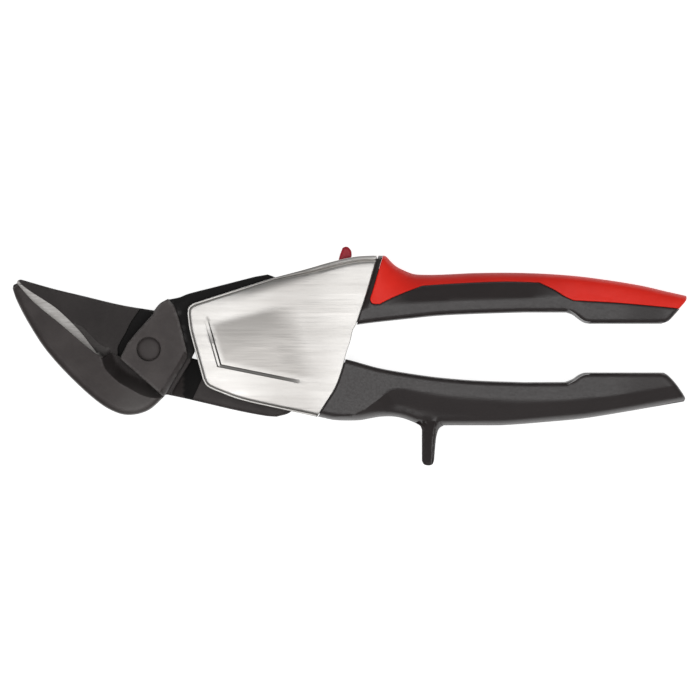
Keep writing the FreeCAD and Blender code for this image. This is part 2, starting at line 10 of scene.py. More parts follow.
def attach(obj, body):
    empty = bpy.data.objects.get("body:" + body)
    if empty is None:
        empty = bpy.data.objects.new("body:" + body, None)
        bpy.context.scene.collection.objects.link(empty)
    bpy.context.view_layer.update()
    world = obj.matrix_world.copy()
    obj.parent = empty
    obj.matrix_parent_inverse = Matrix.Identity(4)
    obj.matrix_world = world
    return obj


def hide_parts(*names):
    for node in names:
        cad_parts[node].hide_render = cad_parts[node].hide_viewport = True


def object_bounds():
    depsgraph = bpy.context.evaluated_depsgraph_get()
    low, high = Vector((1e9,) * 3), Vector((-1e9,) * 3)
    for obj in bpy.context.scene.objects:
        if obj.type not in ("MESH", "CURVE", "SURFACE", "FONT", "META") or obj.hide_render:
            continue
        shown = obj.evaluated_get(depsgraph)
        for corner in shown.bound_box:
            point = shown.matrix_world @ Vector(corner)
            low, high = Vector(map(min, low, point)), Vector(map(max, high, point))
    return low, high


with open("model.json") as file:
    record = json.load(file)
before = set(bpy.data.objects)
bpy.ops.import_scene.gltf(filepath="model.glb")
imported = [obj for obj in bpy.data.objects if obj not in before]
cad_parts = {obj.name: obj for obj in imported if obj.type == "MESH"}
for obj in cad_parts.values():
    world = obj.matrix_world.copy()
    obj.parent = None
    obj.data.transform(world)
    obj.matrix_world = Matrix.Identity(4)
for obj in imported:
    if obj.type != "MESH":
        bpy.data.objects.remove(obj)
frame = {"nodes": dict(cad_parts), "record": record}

# Looks of the aviation snips. Shapes are drawn in millimetres round the blade pivot, with +X to the
# grips, +Y to the upper grip and +Z out of the front cover, and are placed by the pivot's position.

CAD_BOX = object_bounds()
JOINTS = {joint["name"]: joint for joint in frame["record"]["behaviour"]["joints"]}
PIVOT = np.array(JOINTS["blade_pivot"]["pos_m"])
MM = 0.001
norm = np.linalg.norm

# ---- sizes in mm; heights are above the shear plane of the blades ----
SHEAR_GAP = 0.05        # from that plane to either blade
LAYER = 5.0             # outer face of the levers
FRONT_BOSS = 8.0
REAR_BOSS = 6.5
DISC = 4.7              # radius of the bolt's head
HEAD_ROOM = 0.38        # gap round the head in the front boss
HEAD_SINK = 1.6
COVER_FACE = 9.5
SHEET = 1.2             # thickness of the cover sheet
COVER_LIP = 7.0         # lower end of the cover's formed edge
SCREW_SEAT = 3.4        # radius of a screw's seat in the rear cover
SEAT_DEPTH = 0.7
TAB_SLOT = (77.2, 85.4)
PAD_STEP = 0.8
PAD_CROWN = 0.2         # rise of the pad's middle over its walls
LEDGE_DROP = 3.2        # depth of the step near the grip tips
GRIP_END = (192.0, 223.0)
NECK_HALF = 6.4         # half thickness of a grip between the covers
OVER_CORE = 4.1         # the most a grip's face may fall over its steel core
SHARP_ANGLE = math.radians(32)


# ---- plane geometry ----
def spline(points, step):
    """Points along a smooth curve through the given ones, without its last point."""
    p = np.array(points, float)
    p = p[np.append(True, norm(np.diff(p, axis=0), axis=1) > 1e-6)]
    ahead = np.vstack([p[1:], 2 * p[-1] - p[-2]])
    behind = np.vstack([2 * p[0] - p[1], p[:-1]])
    gone = norm(p - behind, axis=1) + norm(ahead - p, axis=1)
    slope = (ahead - behind) / gone[:, None]
    out = []
    for i in range(len(p) - 1):
        length = norm(p[i + 1] - p[i])
        count = max(2, math.ceil(length / step))
        t = np.linspace(0, 1, count, endpoint=False)[:, None]
        out.append((2 * t**3 - 3 * t**2 + 1) * p[i] + (t**3 - 2 * t**2 + t) * length * slope[i]
                   + (3 * t**2 - 2 * t**3) * p[i + 1] + (t**3 - t**2) * length * slope[i + 1])
    return np.vstack(out)


def straight(a, b, step):
    a, b = np.array(a, float), np.array(b, float)
    count = max(1, math.ceil(norm(b - a) / step))
    t = np.linspace(0, 1, count, endpoint=False)[:, None]
    return a + (b - a) * t


def trail(stretches, step=0.8, closed=False):
    """Dense points along ("line", points) and ("curve", points) stretches joined end to end."""
    out = []
    first = last = None
    for kind, points in stretches:
        way = list(points) if last is None else [last] + list(points)
        first = way[0] if first is None else first
        if kind == "curve":
            out.append(spline(way, step))
        else:
            out += [straight(a, b, step) for a, b in zip(way, way[1:])]
        last = way[-1]
    if closed:
        if norm(np.subtract(last, first)) > 1e-6:
            out.append(straight(last, first, step))
        return np.vstack(out)
    return np.vstack(out + [np.array([last], float)])


def curve(points, step=0.8):
    """Dense points along one smooth curve."""
    return trail([("curve", points)], step)


def circle(centre, radius, count=48):
    t = np.linspace(0, 2 * math.pi, count, endpoint=False)
    return np.stack([centre[0] + radius * np.cos(t), centre[1] + radius * np.sin(t)], 1)


def ring(loop):
    """A loop of points with the first one again at its end."""
    return np.vstack([loop, loop[:1]])


def away(points, line, closed=False):
    """Distance of each point from a polyline."""
    line = ring(line) if closed else np.asarray(line, float)
    a = line[:-1]
    ab = line[1:] - a
    size = np.maximum((ab**2).sum(1), 1e-12)
    best = np.empty(len(points))
    for start in range(0, len(points), 2000):
        ap = points[start:start + 2000, None, :] - a[None]
        t = np.clip((ap * ab).sum(2) / size, 0, 1)
        gap = ap - t[..., None] * ab
        best[start:start + 2000] = np.sqrt((gap**2).sum(2).min(1))
    return best


def inside(points, polygon):
    """True for the points inside a closed polygon."""
    polygon = np.asarray(polygon, float)
    x, y = points[:, 0], points[:, 1]
    hit = np.zeros(len(points), bool)
    ends = np.roll(polygon, -1, axis=0)
    for (x0, y0), (x1, y1) in zip(polygon, ends):
        if y0 == y1:
            continue
        crosses = (y0 > y) != (y1 > y)
        hit ^= crosses & (x < (x1 - x0) * (y - y0) / (y1 - y0) + x0)
    return hit


def side_of(points, a, b):
    """Signed distance from the line a to b, positive on its left."""
    a, b = np.array(a, float), np.array(b, float)
    way = (b - a) / norm(b - a)
    return way[0] * (points[:, 1] - a[1]) - way[1] * (points[:, 0] - a[0])


def left_of(way):
    """Unit vectors pointing to the left of the given ones."""
    way = way / np.maximum(norm(way, axis=1), 1e-9)[:, None]
    return np.stack([-way[:, 1], way[:, 0]], 1)


def shifted(line, by):
    """A polyline moved to its left by one distance, or by one for each of its points."""
    return line + np.reshape(by, (-1, 1)) * left_of(np.gradient(line, axis=0))


def step_lines(line, half=0.05):
    """Two close lines, between which a face can drop steeply."""
    return [shifted(line, half), shifted(line, -half)]


def ramp(value, low, high):
    """0 at low, 1 at high, eased at both ends."""
    t = np.clip((value - low) / (high - low), 0, 1)
    return t * t * (3 - 2 * t)


def between(value, start, full, last, end):
    """1 from full to last, easing to 0 at start and end."""
    return ramp(value, start, full) * (1 - ramp(value, last, end))


def rounding(distance, radius):
    """How far a rounded edge falls below its face at a distance from the edge."""
    t = np.clip(1 - distance / radius, 0, 1)
    return radius * (1 - np.sqrt(np.maximum(1 - t * t, 0)))


def rounded(xy, line, radius, closed=False):
    """How far a face falls at each point along a rounded line."""
    return rounding(away(xy, line, closed), radius)


def flat(height):
    """Height function of a level face; also a mark that is the same all over a piece."""
    return lambda xy: np.full(len(xy), height)


def plane(p, q, r):
    """Height function of the plane through three points."""
    p, q, r = (np.array(v, float) for v in (p, q, r))
    n = np.cross(q - p, r - p)
    return lambda xy: p[2] - (n[0] * (xy[:, 0] - p[0]) + n[1] * (xy[:, 1] - p[1])) / n[2]


# ---- relief pieces: closed solids from an outline, a top height and a bottom height ----
HEXAGON = 0.866         # row spacing of a grid of even triangles
THINNEST = 0.02         # least thickness of a relief piece


def fill_points(outline, rims, creases, spacing):
    """Extra points: rows just inside the outline, then an even hexagon grid."""
    rows = []
    after, before = np.roll(outline, -1, axis=0), np.roll(outline, 1, axis=0)
    turn = np.sign(np.sum(outline[:, 0] * after[:, 1] - outline[:, 1] * after[:, 0]))
    inward = turn * left_of(after - before)
    for rim in rims:
        row = outline + inward * rim
        keep = inside(row, outline) & (away(row, outline, True) > rim * 0.97)
        rows.append(row[keep])
    low, high = outline.min(0), outline.max(0)
    xs = np.arange(low[0], high[0], spacing)
    ys = np.arange(low[1], high[1], spacing * HEXAGON)
    gx, gy = np.meshgrid(xs, ys)
    gx = gx + (np.arange(len(ys)) % 2)[:, None] * spacing / 2
    grid = np.stack([gx.ravel(), gy.ravel()], 1)
    grid = grid[inside(grid, outline)]
    clear = spacing * 0.45
    grid = grid[away(grid, outline, True) > max(rims, default=0) + clear]
    for line in creases:
        grid = grid[away(grid, line) > clear]
        rows = [row[away(row, line) > 0.04] for row in rows]
    return rows + [grid]


def relief_mesh(outline, top, bottom, rims, creases, spacing, flip=False):
    """Vertices and faces of the solid between two height functions over an outline."""
    points = [outline] + list(creases) + fill_points(outline, rims, creases, spacing)
    edges = [(i, (i + 1) % len(outline)) for i in range(len(outline))]
    base = len(outline)
    for line in creases:
        edges += [(base + i, base + i + 1) for i in range(len(line) - 1)]
        base += len(line)
    plan = [Vector(p) for p in np.vstack(points)]
    made = delaunay_2d_cdt(plan, edges, [list(range(len(outline)))], 1, 1e-5)
    xy = np.array([(v.x, v.y) for v in made[0]])
    faces = [tuple(f) for f in made[2]]
    n = len(xy)
    high = np.column_stack([xy, top(xy)])
    low = np.column_stack([xy, bottom(xy)])
    low[:, 2] = np.minimum(low[:, 2], high[:, 2] - THINNEST)
    sides = dict.fromkeys((a, b) for f in faces for a, b in zip(f, f[1:] + f[:1]))
    walls = [(a, a + n, b + n, b) for a, b in sides if (b, a) not in sides]
    shell = faces + [tuple(i + n for i in reversed(f)) for f in faces] + walls
    verts = np.vstack([high, low])
    if flip:
        verts[:, 2] *= -1
        shell = [tuple(reversed(f)) for f in shell]
    return verts, shell


def lathe_mesh(profile, count):
    """Vertices and faces of a turned piece; profile runs bottom to top as (radius, height)."""
    verts = np.vstack([np.column_stack([circle((0, 0), radius, count), np.full(count, height)])
                       for radius, height in profile])
    last = (len(profile) - 1) * count
    faces = [(row + i, row + j, row + count + j, row + count + i)
             for row in range(0, last, count) for i, j in zip(range(count), [*range(1, count), 0])]
    return verts, faces + [tuple(range(count - 1, -1, -1)), tuple(range(last, last + count))]


def linked(name, data):
    """A new object in the scene."""
    obj = bpy.data.objects.new(name, data)
    bpy.context.scene.collection.objects.link(obj)
    return obj


def piece(name, meshes, material, body, replaces, marks, angle=SHARP_ANGLE):
    """One named object from several closed shells; marks are named values painted on its points."""
    verts, faces = [], []
    base = 0
    for points, shell in meshes:
        verts.append(points)
        faces += [tuple(i + base for i in f) for f in shell]
        base += len(points)
    verts = np.vstack(verts)
    mesh = bpy.data.meshes.new(name)
    mesh.from_pydata((verts * MM + PIVOT).tolist(), [], faces)
    mesh.validate()
    for mark, value in marks.items():
        layer = mesh.attributes.new(mark, "FLOAT", "POINT")
        layer.data.foreach_set("value", value(verts).astype(np.float32))
    mesh.shade_smooth()
    mesh.set_sharp_from_angle(angle=angle)
    mesh.materials.append(material)
    obj = linked(name, mesh)
    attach(obj, body)
    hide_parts(*replaces)


# ---- materials ----
class Nodes:
    """A material's node tree with short ways to add to it."""

    def __init__(self, name, color, roughness, metallic=0.0, **sockets):
        self.material = bpy.data.materials.new(name)
        self.material.use_nodes = True
        self.tree = self.material.node_tree
        self.shader = self.tree.nodes["Principled BSDF"]
        values = {"Base Color": (*color, 1), "Roughness": roughness, "Metallic": metallic}
        values.update((socket.replace("_", " "), value) for socket, value in sockets.items())
        self.fill(self.shader, values)
        self.place = self.add("ShaderNodeTexCoord", {}).outputs["Object"]

    def fill(self, node, inputs):
        """Sets a node's inputs to numbers or colours, or links them to other nodes' outputs."""
        for socket, value in inputs.items():
            if isinstance(value, bpy.types.NodeSocket):
                self.tree.links.new(value, node.inputs[socket])
            else:
                node.inputs[socket].default_value = value

    def add(self, kind, inputs, **settings):
        node = self.tree.nodes.new(kind)
        for key, value in settings.items():
            setattr(node, key, value)
        self.fill(node, inputs)
        return node

    def stretched(self, scale, turn=(0, 0, 0)):
        """Object position, turned and scaled per axis."""
        inputs = {"Scale": scale, "Rotation": turn, "Vector": self.place}
        return self.add("ShaderNodeMapping", inputs).outputs["Vector"]

    def noise(self, scale, detail=4.0, roughness=0.55, vector=None):
        inputs = {"Scale": scale, "Detail": detail, "Roughness": roughness,
                  "Vector": vector or self.place}
        return self.add("ShaderNodeTexNoise", inputs).outputs["Fac"]

    def mark(self, name):
        """Value painted on the points of a piece; 0 where it has no such mark."""
        return self.add("ShaderNodeAttribute", {}, attribute_name=name).outputs["Fac"]

    def levels(self, value, low=0.3, high=0.7, out_low=0.0, out_high=1.0):
        """Stretches low..high, by default most of a noise's range, to out_low..out_high."""
        inputs = {"From Min": low, "From Max": high, "To Min": out_low, "To Max": out_high,
                  "Value": value}
        return self.add("ShaderNodeMapRange", inputs).outputs["Result"]

    def maths(self, kind, a, b):
        return self.add("ShaderNodeMath", {0: a, 1: b}, operation=kind).outputs["Value"]

    def mix(self, factor, a, b):
        a, b = ((*value, 1) if isinstance(value, tuple) else value for value in (a, b))
        inputs = {"Factor": factor, 6: a, 7: b}
        return self.add("ShaderNodeMix", inputs, data_type="RGBA").outputs[2]

    def color(self, value):
        self.fill(self.shader, {"Base Color": value})

    def rough(self, value):
        self.fill(self.shader, {"Roughness": value})

    def bump(self, height, strength, distance, below=None):
        inputs = {"Strength": strength, "Distance": distance, "Height": height}
        if below is not None:
            inputs["Normal"] = below
        normal = self.add("ShaderNodeBump", inputs).outputs["Normal"]
        self.fill(self.shader, {"Normal": normal})
        return normal


def forged_steel():
    """Blackened forging: satin oxide with faint mottling, rubbed paler along its edges. Its colour
    also carries painted shade, darker in recesses and beside and under other parts, and painted
    highlights, lighter on the lower blade's belly and along the rim of its hollow.
    """
    m = Nodes("blackened_forging", (0.05, 0.047, 0.045), 0.45, 0.35)
    mottle = m.levels(m.noise(90, 5))
    grain = m.noise(2600, 3)
    base = m.mix(mottle, (0.044, 0.036, 0.035), (0.066, 0.056, 0.054))
    # Painted shade: darker and rougher in recesses and beside and under other parts. Painted
    # highlight: lighter on the lower blade's belly.
    base = m.mix(m.mark("raw_and_painted_shade"), base, (0.010, 0.009, 0.009))
    base = m.mix(m.mark("painted_highlight"), base, (0.092, 0.084, 0.081))
    wear = m.levels(m.noise(420, 4), 0.42, 0.62)
    worn = m.maths("MULTIPLY", m.mark("edge"), m.maths("ADD", wear, 0.2))
    base = m.mix(worn, base, (0.19, 0.185, 0.18))
    ground = m.mark("ground")
    streaks = m.noise(1.0, 3, 0.6, m.stretched((160, 1500, 400), (0, 0, math.radians(42))))
    bright = m.mix(m.levels(streaks, 0.35, 0.65), (0.50, 0.48, 0.46), (0.72, 0.70, 0.68))
    m.color(m.mix(ground, base, bright))
    rough = m.levels(grain, 0.3, 0.7, 0.38, 0.5)
    m.rough(m.maths("ADD", rough, m.maths("MULTIPLY", m.mark("raw_and_painted_shade"), 0.22)))
    below = m.bump(m.noise(700, 4), 0.12, 0.00012)
    m.bump(grain, 0.10, 0.00005, below)
    return m.material


def core_steel():
    """Phosphated strip steel of the handle cores and the latch lever."""
    m = Nodes("phosphated_strip", (0.11, 0.11, 0.112), 0.48, 0.6)
    streaks = m.noise(1.0, 4, 0.6, m.stretched((60, 900, 900)))
    m.color(m.mix(m.levels(streaks), (0.085, 0.085, 0.088), (0.15, 0.15, 0.15)))
    m.rough(m.levels(m.noise(800, 3), 0.3, 0.7, 0.4, 0.58))
    m.bump(streaks, 0.1, 0.00004)
    return m.material


def brushed_cover():
    """Brushed stainless sheet: long fine lines along the tool over slow tone changes."""
    m = Nodes("brushed_stainless", (0.72, 0.71, 0.69), 0.34, 1.0, Anisotropic=0.35)
    fine = m.noise(1.0, 5, 0.65, m.stretched((45, 2600, 900), (0, 0, math.radians(4))))
    broad = m.noise(1.0, 3, 0.5, m.stretched((22, 260, 200), (0, 0, math.radians(6))))
    cloud = m.noise(38, 2)
    tone = m.maths("ADD", m.maths("MULTIPLY", fine, 0.5), m.maths("MULTIPLY", broad, 0.5))
    base = m.mix(m.levels(tone, 0.34, 0.66), (0.65, 0.63, 0.605), (0.92, 0.90, 0.875))
    base = m.mix(m.levels(cloud, 0.35, 0.7, 0.0, 0.45), base, (0.58, 0.56, 0.535))
    # Darker colour on the flat of the pad and, less, on the broad right part of the cover.
    base = m.mix(m.maths("MULTIPLY", m.mark("panel"), 0.85), base, (0.42, 0.40, 0.38))
    # Painted shadow: the fold mark darkens the grooves along the formed edge and the folds of the
    # pad's walls.
    m.color(m.mix(m.mark("fold"), base, (0.09, 0.085, 0.08)))
    m.rough(m.levels(fine, 0.3, 0.7, 0.28, 0.44))
    m.bump(fine, 0.16, 0.00003)
    return m.material


def turned_steel(name, color, roughness):
    """Pins, bolts and washers, with faint turning marks and handling marks."""
    m = Nodes(name, color, roughness, 0.85)
    m.color(m.mix(m.levels(m.noise(900, 4)), tuple(0.85 * c for c in color), color))
    m.rough(m.levels(m.noise(1800, 3), 0.3, 0.7, roughness - 0.08, roughness + 0.1))
    m.bump(m.noise(1500, 3), 0.08, 0.00004)
    return m.material


def moulded(name, dark, light, roughness, grain=0.22, **sockets):
    """Moulded plastic with a fine spark-eroded skin and slow tone changes. Where a piece has the
    shade mark, its colour is darkened as painted shade.
    """
    m = Nodes(name, light, roughness, **sockets)
    cloud = m.levels(m.noise(55, 3))
    base = m.mix(cloud, dark, light)
    rub = m.maths("MULTIPLY", m.mark("edge"), m.levels(m.noise(300, 4), 0.45, 0.65))
    paler = tuple(min(1.0, 1.35 * c + 0.012) for c in light)
    # Painted shade: pieces with the shade mark are darkened towards this colour.
    painted_shade_color = tuple(0.45 * c for c in dark)
    m.color(m.mix(m.mark("shade"), m.mix(rub, base, paler), painted_shade_color))
    skin = m.add("ShaderNodeTexVoronoi", {"Scale": 2300, "Vector": m.place}, feature="SMOOTH_F1")
    m.rough(m.levels(m.noise(1200, 3), 0.3, 0.7, roughness - 0.06, roughness + 0.08))
    below = m.bump(m.noise(260, 2), 0.06, 0.0002)
    m.bump(skin.outputs["Distance"], grain, 0.00008, below)
    return m.material


FORGED = forged_steel()
CORE = core_steel()
COVER = brushed_cover()
BOLT = turned_steel("blackened_bolt", (0.085, 0.083, 0.08), 0.42)
BRIGHT = turned_steel("ground_steel", (0.62, 0.61, 0.6), 0.3)
SPRING = turned_steel("spring_wire", (0.4, 0.4, 0.41), 0.35)
BRONZE = turned_steel("sintered_bronze", (0.5, 0.34, 0.16), 0.45)
BLACK = moulded("black_grip_plastic", (0.0155, 0.0105, 0.0105), (0.021, 0.0150, 0.0146), 0.36,
                Specular_IOR_Level=0.78)
RED = moulded("red_grip_elastomer", (0.84, 0.018, 0.009), (0.95, 0.027, 0.013), 0.5, 0.16,
              Specular_IOR_Level=0.32)
TAB_RED = moulded("red_tab_plastic", (0.33, 0.008, 0.02), (0.42, 0.012, 0.03), 0.4, 0.08,
                  Specular_IOR_Level=0.35)


# ---- lower blade: front forging ----
HOLLOW_RIM = [(-19.8, -3.9), (-18.3, -8.0), (-15.7, -11.0), (-12.1, -14.1), (-8.0, -16.4),
              (-3.9, -18.7), (0.7, -20.2), (5.8, -20.4)]
BELLY = [(0.2, -25.1), (-6.0, -27.2), (-12.1, -26.8), (-20.0, -22.8), (-32.0, -12.3), (-42.9, -0.3),
         (-50.0, 10.5), (-54.9, 19.7)]


def lower_blade_plate():
    outline = trail([
        ("curve", [(-55.1, 27.3), (-48.0, 19.5), (-35.9, 9.5), (-25.4, 0.5), (-20.0, -3.3)]),
        ("line", [(-15.7, -1.8), (-11.5, -3.4), (0.0, 0.0), (6.3, -19.6)]),
        ("curve", BELLY + [(-56.85, 25.2)]),
        ("curve", [(-56.4, 26.6), (-55.1, 27.3)]),
    ], 0.7, True)
    face = plane((-55.0, 27.0, 2.2), (-20.0, -3.3, 5.3), (-10.0, -27.0, 7.8))
    rim = curve(HOLLOW_RIM, 0.6)
    scoop = np.vstack([rim, [(6.0, -10.0), (-6.0, 0.0), (-15.7, -1.0)]])
    belly = curve([(6.3, -19.6)] + BELLY + [(-56.9, 25.2), (-55.1, 27.3)], 0.7)

    def top(xy):
        height = face(xy) - 0.55 * rounded(xy, belly, 3.2) - rounded(xy, belly, 0.7)
        depth = np.where(inside(xy, scoop), away(xy, rim), 0.0)
        return np.maximum(height - np.clip(0.95 * depth, 0, 4.6), SHEAR_GAP + 0.2)

    rows = [rim[1:-1], shifted(rim, 0.5)[2:-3]]
    mesh = relief_mesh(outline, top, flat(SHEAR_GAP), (0.12, 0.35, 0.7, 1.3, 2.2, 3.2), rows, 1.2)
    return mesh, belly, rim, scoop


def boss_outline():
    return trail([
        ("line", [(-12.0, -4.0), (-9.0, 2.3), (-4.9, 7.2), (1.7, 14.4), (2.2, 16.0)]),
        ("curve", [(4.6, 18.9), (7.9, 20.8)]),
        ("curve", [(11.0, 16.9), (14.6, 4.6), (16.3, -3.2)]),
        ("line", [(6.6, -19.2), (5.6, -19.5), (-12.0, -4.0)]),
    ], 0.6, True)


def front_boss():
    outline = boss_outline()
    heel = trail([("line", [(16.6, -2.9), (6.4, -19.6)])], 0.6)
    well = [ring(circle((0, 0), DISC + HEAD_ROOM + side)) for side in (0.04, -0.04)]

    def top(xy):
        height = np.full(len(xy), FRONT_BOSS) - rounded(xy, outline, 0.45, True)
        height -= 1.1 * np.clip(2.3 - away(xy, heel), 0, 2.3)
        reach = np.hypot(xy[:, 0], xy[:, 1])
        return np.where(reach < DISC + HEAD_ROOM, FRONT_BOSS - HEAD_SINK, height)

    creases = well + [trail([("line", [(13.6, -4.2), (6.6, -15.9)])], 0.7)]
    return relief_mesh(outline, top, flat(SHEAR_GAP), (0.1, 0.25, 0.45, 1.5, 2.3), creases, 1.3)


def front_lever():
    upper = [(12.5, 21.5), (16.0, 22.9), (28.0, 26.0), (44.0, 30.1)]
    outline = trail([
        ("line", [(5.0, 0.0), (7.0, 20.4)]),
        ("curve", upper),
        ("line", [(49.2, 31.0)]),
        ("curve", [(51.7, 30.1), (56.0, 28.2), (59.4, 24.0), (59.4, 17.6), (55.6, 12.8),
                   (50.0, 11.1)]),
        ("line", [(34.0, 9.6), (27.0, 8.8)]),
        ("curve", [(20.4, 5.4), (19.15, 2.6), (18.85, 0.6), (18.9, -1.2)]),
        ("line", [(17.8, -3.4), (16.0, -4.0), (5.0, -10.0)]),
    ], 0.9, True)
    back = curve([(7.0, 20.4)] + upper + [(49.2, 31.0), (51.7, 30.1)])

    def top(xy):
        height = LAYER - 0.10 * np.clip(xy[:, 1], 0, 20) - rounded(xy, outline, 0.4, True)
        return height - 0.5 * np.clip(1.6 - away(xy, back), 0, 1.6)

    return relief_mesh(outline, top, flat(SHEAR_GAP), (0.12, 0.3, 0.5, 1.8), (), 1.8)


def lower_blade():
    plate, belly, rim, scoop = lower_blade_plate()
    boss = boss_outline()

    def edge(points):
        xy, z = points[:, :2], points[:, 2]
        near = np.minimum(away(xy, belly), away(xy, boss, True))
        worn = 0.5 * np.exp(-((near - 0.3) / 0.18) ** 2) * (z > 2.0)
        # Painted highlight along the rim of the hollow, outside it, carried by the edge mark with
        # the wear.
        lip = 0.16 * np.exp(-((away(xy, rim) - 0.2) / 0.5) ** 2) * ~inside(xy, scoop)
        return np.maximum(worn, lip * (z > 2.0))

    # Painted highlight: a lighter patch on the belly of the lower blade.
    def painted_highlight(points):
        reach = np.hypot(points[:, 0] + 5.0, points[:, 1] + 24.0)
        return np.exp(-(reach / 8.0) ** 2) * (points[:, 2] > 2.0)

    # Painted shade: the front lever beside the boss and under the cover, and the hollow under the
    # boss, are darkened in colour.
    def raw_and_painted_shade(points):
        xy, z = points[:, :2], points[:, 2]
        lever = (xy[:, 0] > 4.8) & (z <= LAYER + 0.01)
        hollow = inside(xy, scoop) & (z < FRONT_BOSS - 0.6)
        depth = np.clip(away(xy, rim) / 0.5, 0, 1)
        return np.where(lever, 1.0, np.where(hollow, 0.5 * depth, 0.0))

    piece("lower_blade_forging", [plate, front_boss(), front_lever()], FORGED,
          "lower_blade_forging", ["lower_blade"],
          {"edge": edge, "raw_and_painted_shade": raw_and_painted_shade, "painted_highlight": painted_highlight})


# ---- upper blade: rear forging ----
STRIP_TOP = [(-53.6, 27.0), (-49.4, 23.9), (-43.9, 20.4), (-38.9, 17.0), (-35.2, 13.7),
             (-31.4, 10.0), (-27.6, 5.8), (-24.6, 1.8), (-21.0, -2.9)]
BEVEL_TOP = [(-31.6, 10.8), (-28.0, 9.4), (-24.9, 6.4), (-22.4, 3.8), (-19.8, 1.6), (-17.4, 0.6)]
SPINE = [(-12.1, 18.4), (-28.0, 22.2), (-40.0, 25.1), (-53.3, 28.9)]
FACE_END = [(-15.6, -4.4), (-13.4, -2.6), (-13.1, 1.0), (-10.0, 6.7), (-8.0, 10.8), (-4.4, 16.2),
            (-3.6, 17.8)]


def upper_blade_plate():
    outline = trail([
        ("curve", [(-54.7, 25.6), (-47.0, 16.9), (-38.0, 8.2), (-24.0, -5.6)]),
        ("line", [(-14.0, -9.0), (0.0, -6.0), (6.0, 10.0), (2.2, 16.0)]),
        ("curve", SPINE),
        ("curve", [(-54.6, 28.7), (-55.2, 27.4), (-54.7, 25.6)]),
    ], 0.8, True)
    spine = curve([(2.2, 16.0)] + SPINE)
    strip = curve(STRIP_TOP, 0.7)
    bevel = curve(BEVEL_TOP, 0.7)
    end = curve(FACE_END, 0.6)
    pocket = np.vstack([end, [(8.0, 20.0), (8.0, -14.0), (-15.6, -14.0)]])
    above = np.vstack([strip, [(-16.0, -9.0), (10.0, -9.0), (10.0, 40.0), (-60.0, 40.0)]])
    sloped = np.vstack([bevel, [(-16.2, -3.6)], strip[strip[:, 0] > -31.5][::-1]])
    outer = plane((-54.0, 28.0, -2.2), (-24.0, -5.0, -3.6), (-8.0, 17.5, -6.2))

    def top(xy):
        lifted = np.where(inside(xy, above), away(xy, strip), 0.0)
        height = -SHEAR_GAP - 0.5 * np.clip(lifted / 0.15, 0, 1)
        height -= np.where(inside(xy, sloped) & (lifted > 0.1), 0.30 * away(xy, bevel), 0.0)
        height -= 0.8 * rounded(xy, spine, 0.8)
        return np.where(inside(xy, pocket), -3.2, height)

    def bottom(xy):
        return outer(xy) + rounded(xy, spine, 1.2)

    creases = [strip[1:-2], shifted(strip, 0.16)[1:-3], bevel[2:-1], shifted(bevel, -0.35)[2:-2]]
    creases += [line[1:-1] for line in step_lines(end)]
    mesh = relief_mesh(outline, top, bottom, (0.15, 0.4, 0.8, 1.2), creases, 1.3)
    return mesh, strip, above, sloped, bevel, spine


def rear_boss():
    outline = trail([
        ("line", [(-13.5, -7.0)]),
        ("curve", [(-13.0, 0.0), (-7.5, 10.5), (0.0, 15.2)]),
        ("line", [(7.0, 16.0)]),
        ("curve", [(12.5, 9.0), (16.4, 2.0), (17.6, -4.6)]),
        ("line", [(8.9, -19.0), (4.0, -19.0), (-13.5, -7.0)]),
    ], 0.8, True)

    def top(xy):
        heel = side_of(xy, (6.4, -18.0), (15.4, -3.1)) < 0
        return np.where(heel, -SHEAR_GAP, -3.3) - rounded(xy, outline, 0.6, True)

    def bottom(xy):
        return -REAR_BOSS + rounded(xy, outline, 0.8, True)

    line = trail([("line", [(15.4, -3.1), (6.6, -17.7)])], 0.8)
    return relief_mesh(outline, top, bottom, (0.15, 0.5, 0.8), step_lines(line), 1.5)


def rear_lever():
    under = [(48.0, -27.8), (36.0, -25.5), (16.3, -20.9), (7.1, -19.0)]
    outline = trail([
        ("line", [(6.0, -5.0), (16.8, 2.0), (17.7, -3.8)]),
        ("curve", [(20.0, -4.4), (22.8, -5.6), (27.0, -7.2)]),
        ("line", [(34.0, -8.6), (50.0, -9.6)]),
        ("curve", [(58.0, -10.6), (62.3, -16.0), (61.8, -22.0), (58.4, -26.4), (52.8, -28.2)]),
        ("curve", under),
    ], 0.9, True)
    lip = curve([(58.4, -26.4), (52.8, -28.2)] + under)

    def top(xy):
        low_side = side_of(xy, (18.1, -20.6), (22.6, -10.8))
        height = np.where(low_side > 0, -0.5 - 0.36 * low_side, -SHEAR_GAP)
        height = np.maximum(height, 0.4 - LAYER)
        return height - rounded(xy, outline, 0.5, True) - 0.5 * rounded(xy, lip, 1.6)

    def bottom(xy):
        return -LAYER + rounded(xy, outline, 0.6, True)

    fold = trail([("line", [(18.2, -20.4), (23.6, -8.6)])], 0.8)
    return relief_mesh(outline, top, bottom, (0.15, 0.5, 0.9, 1.6), step_lines(fold), 1.4)


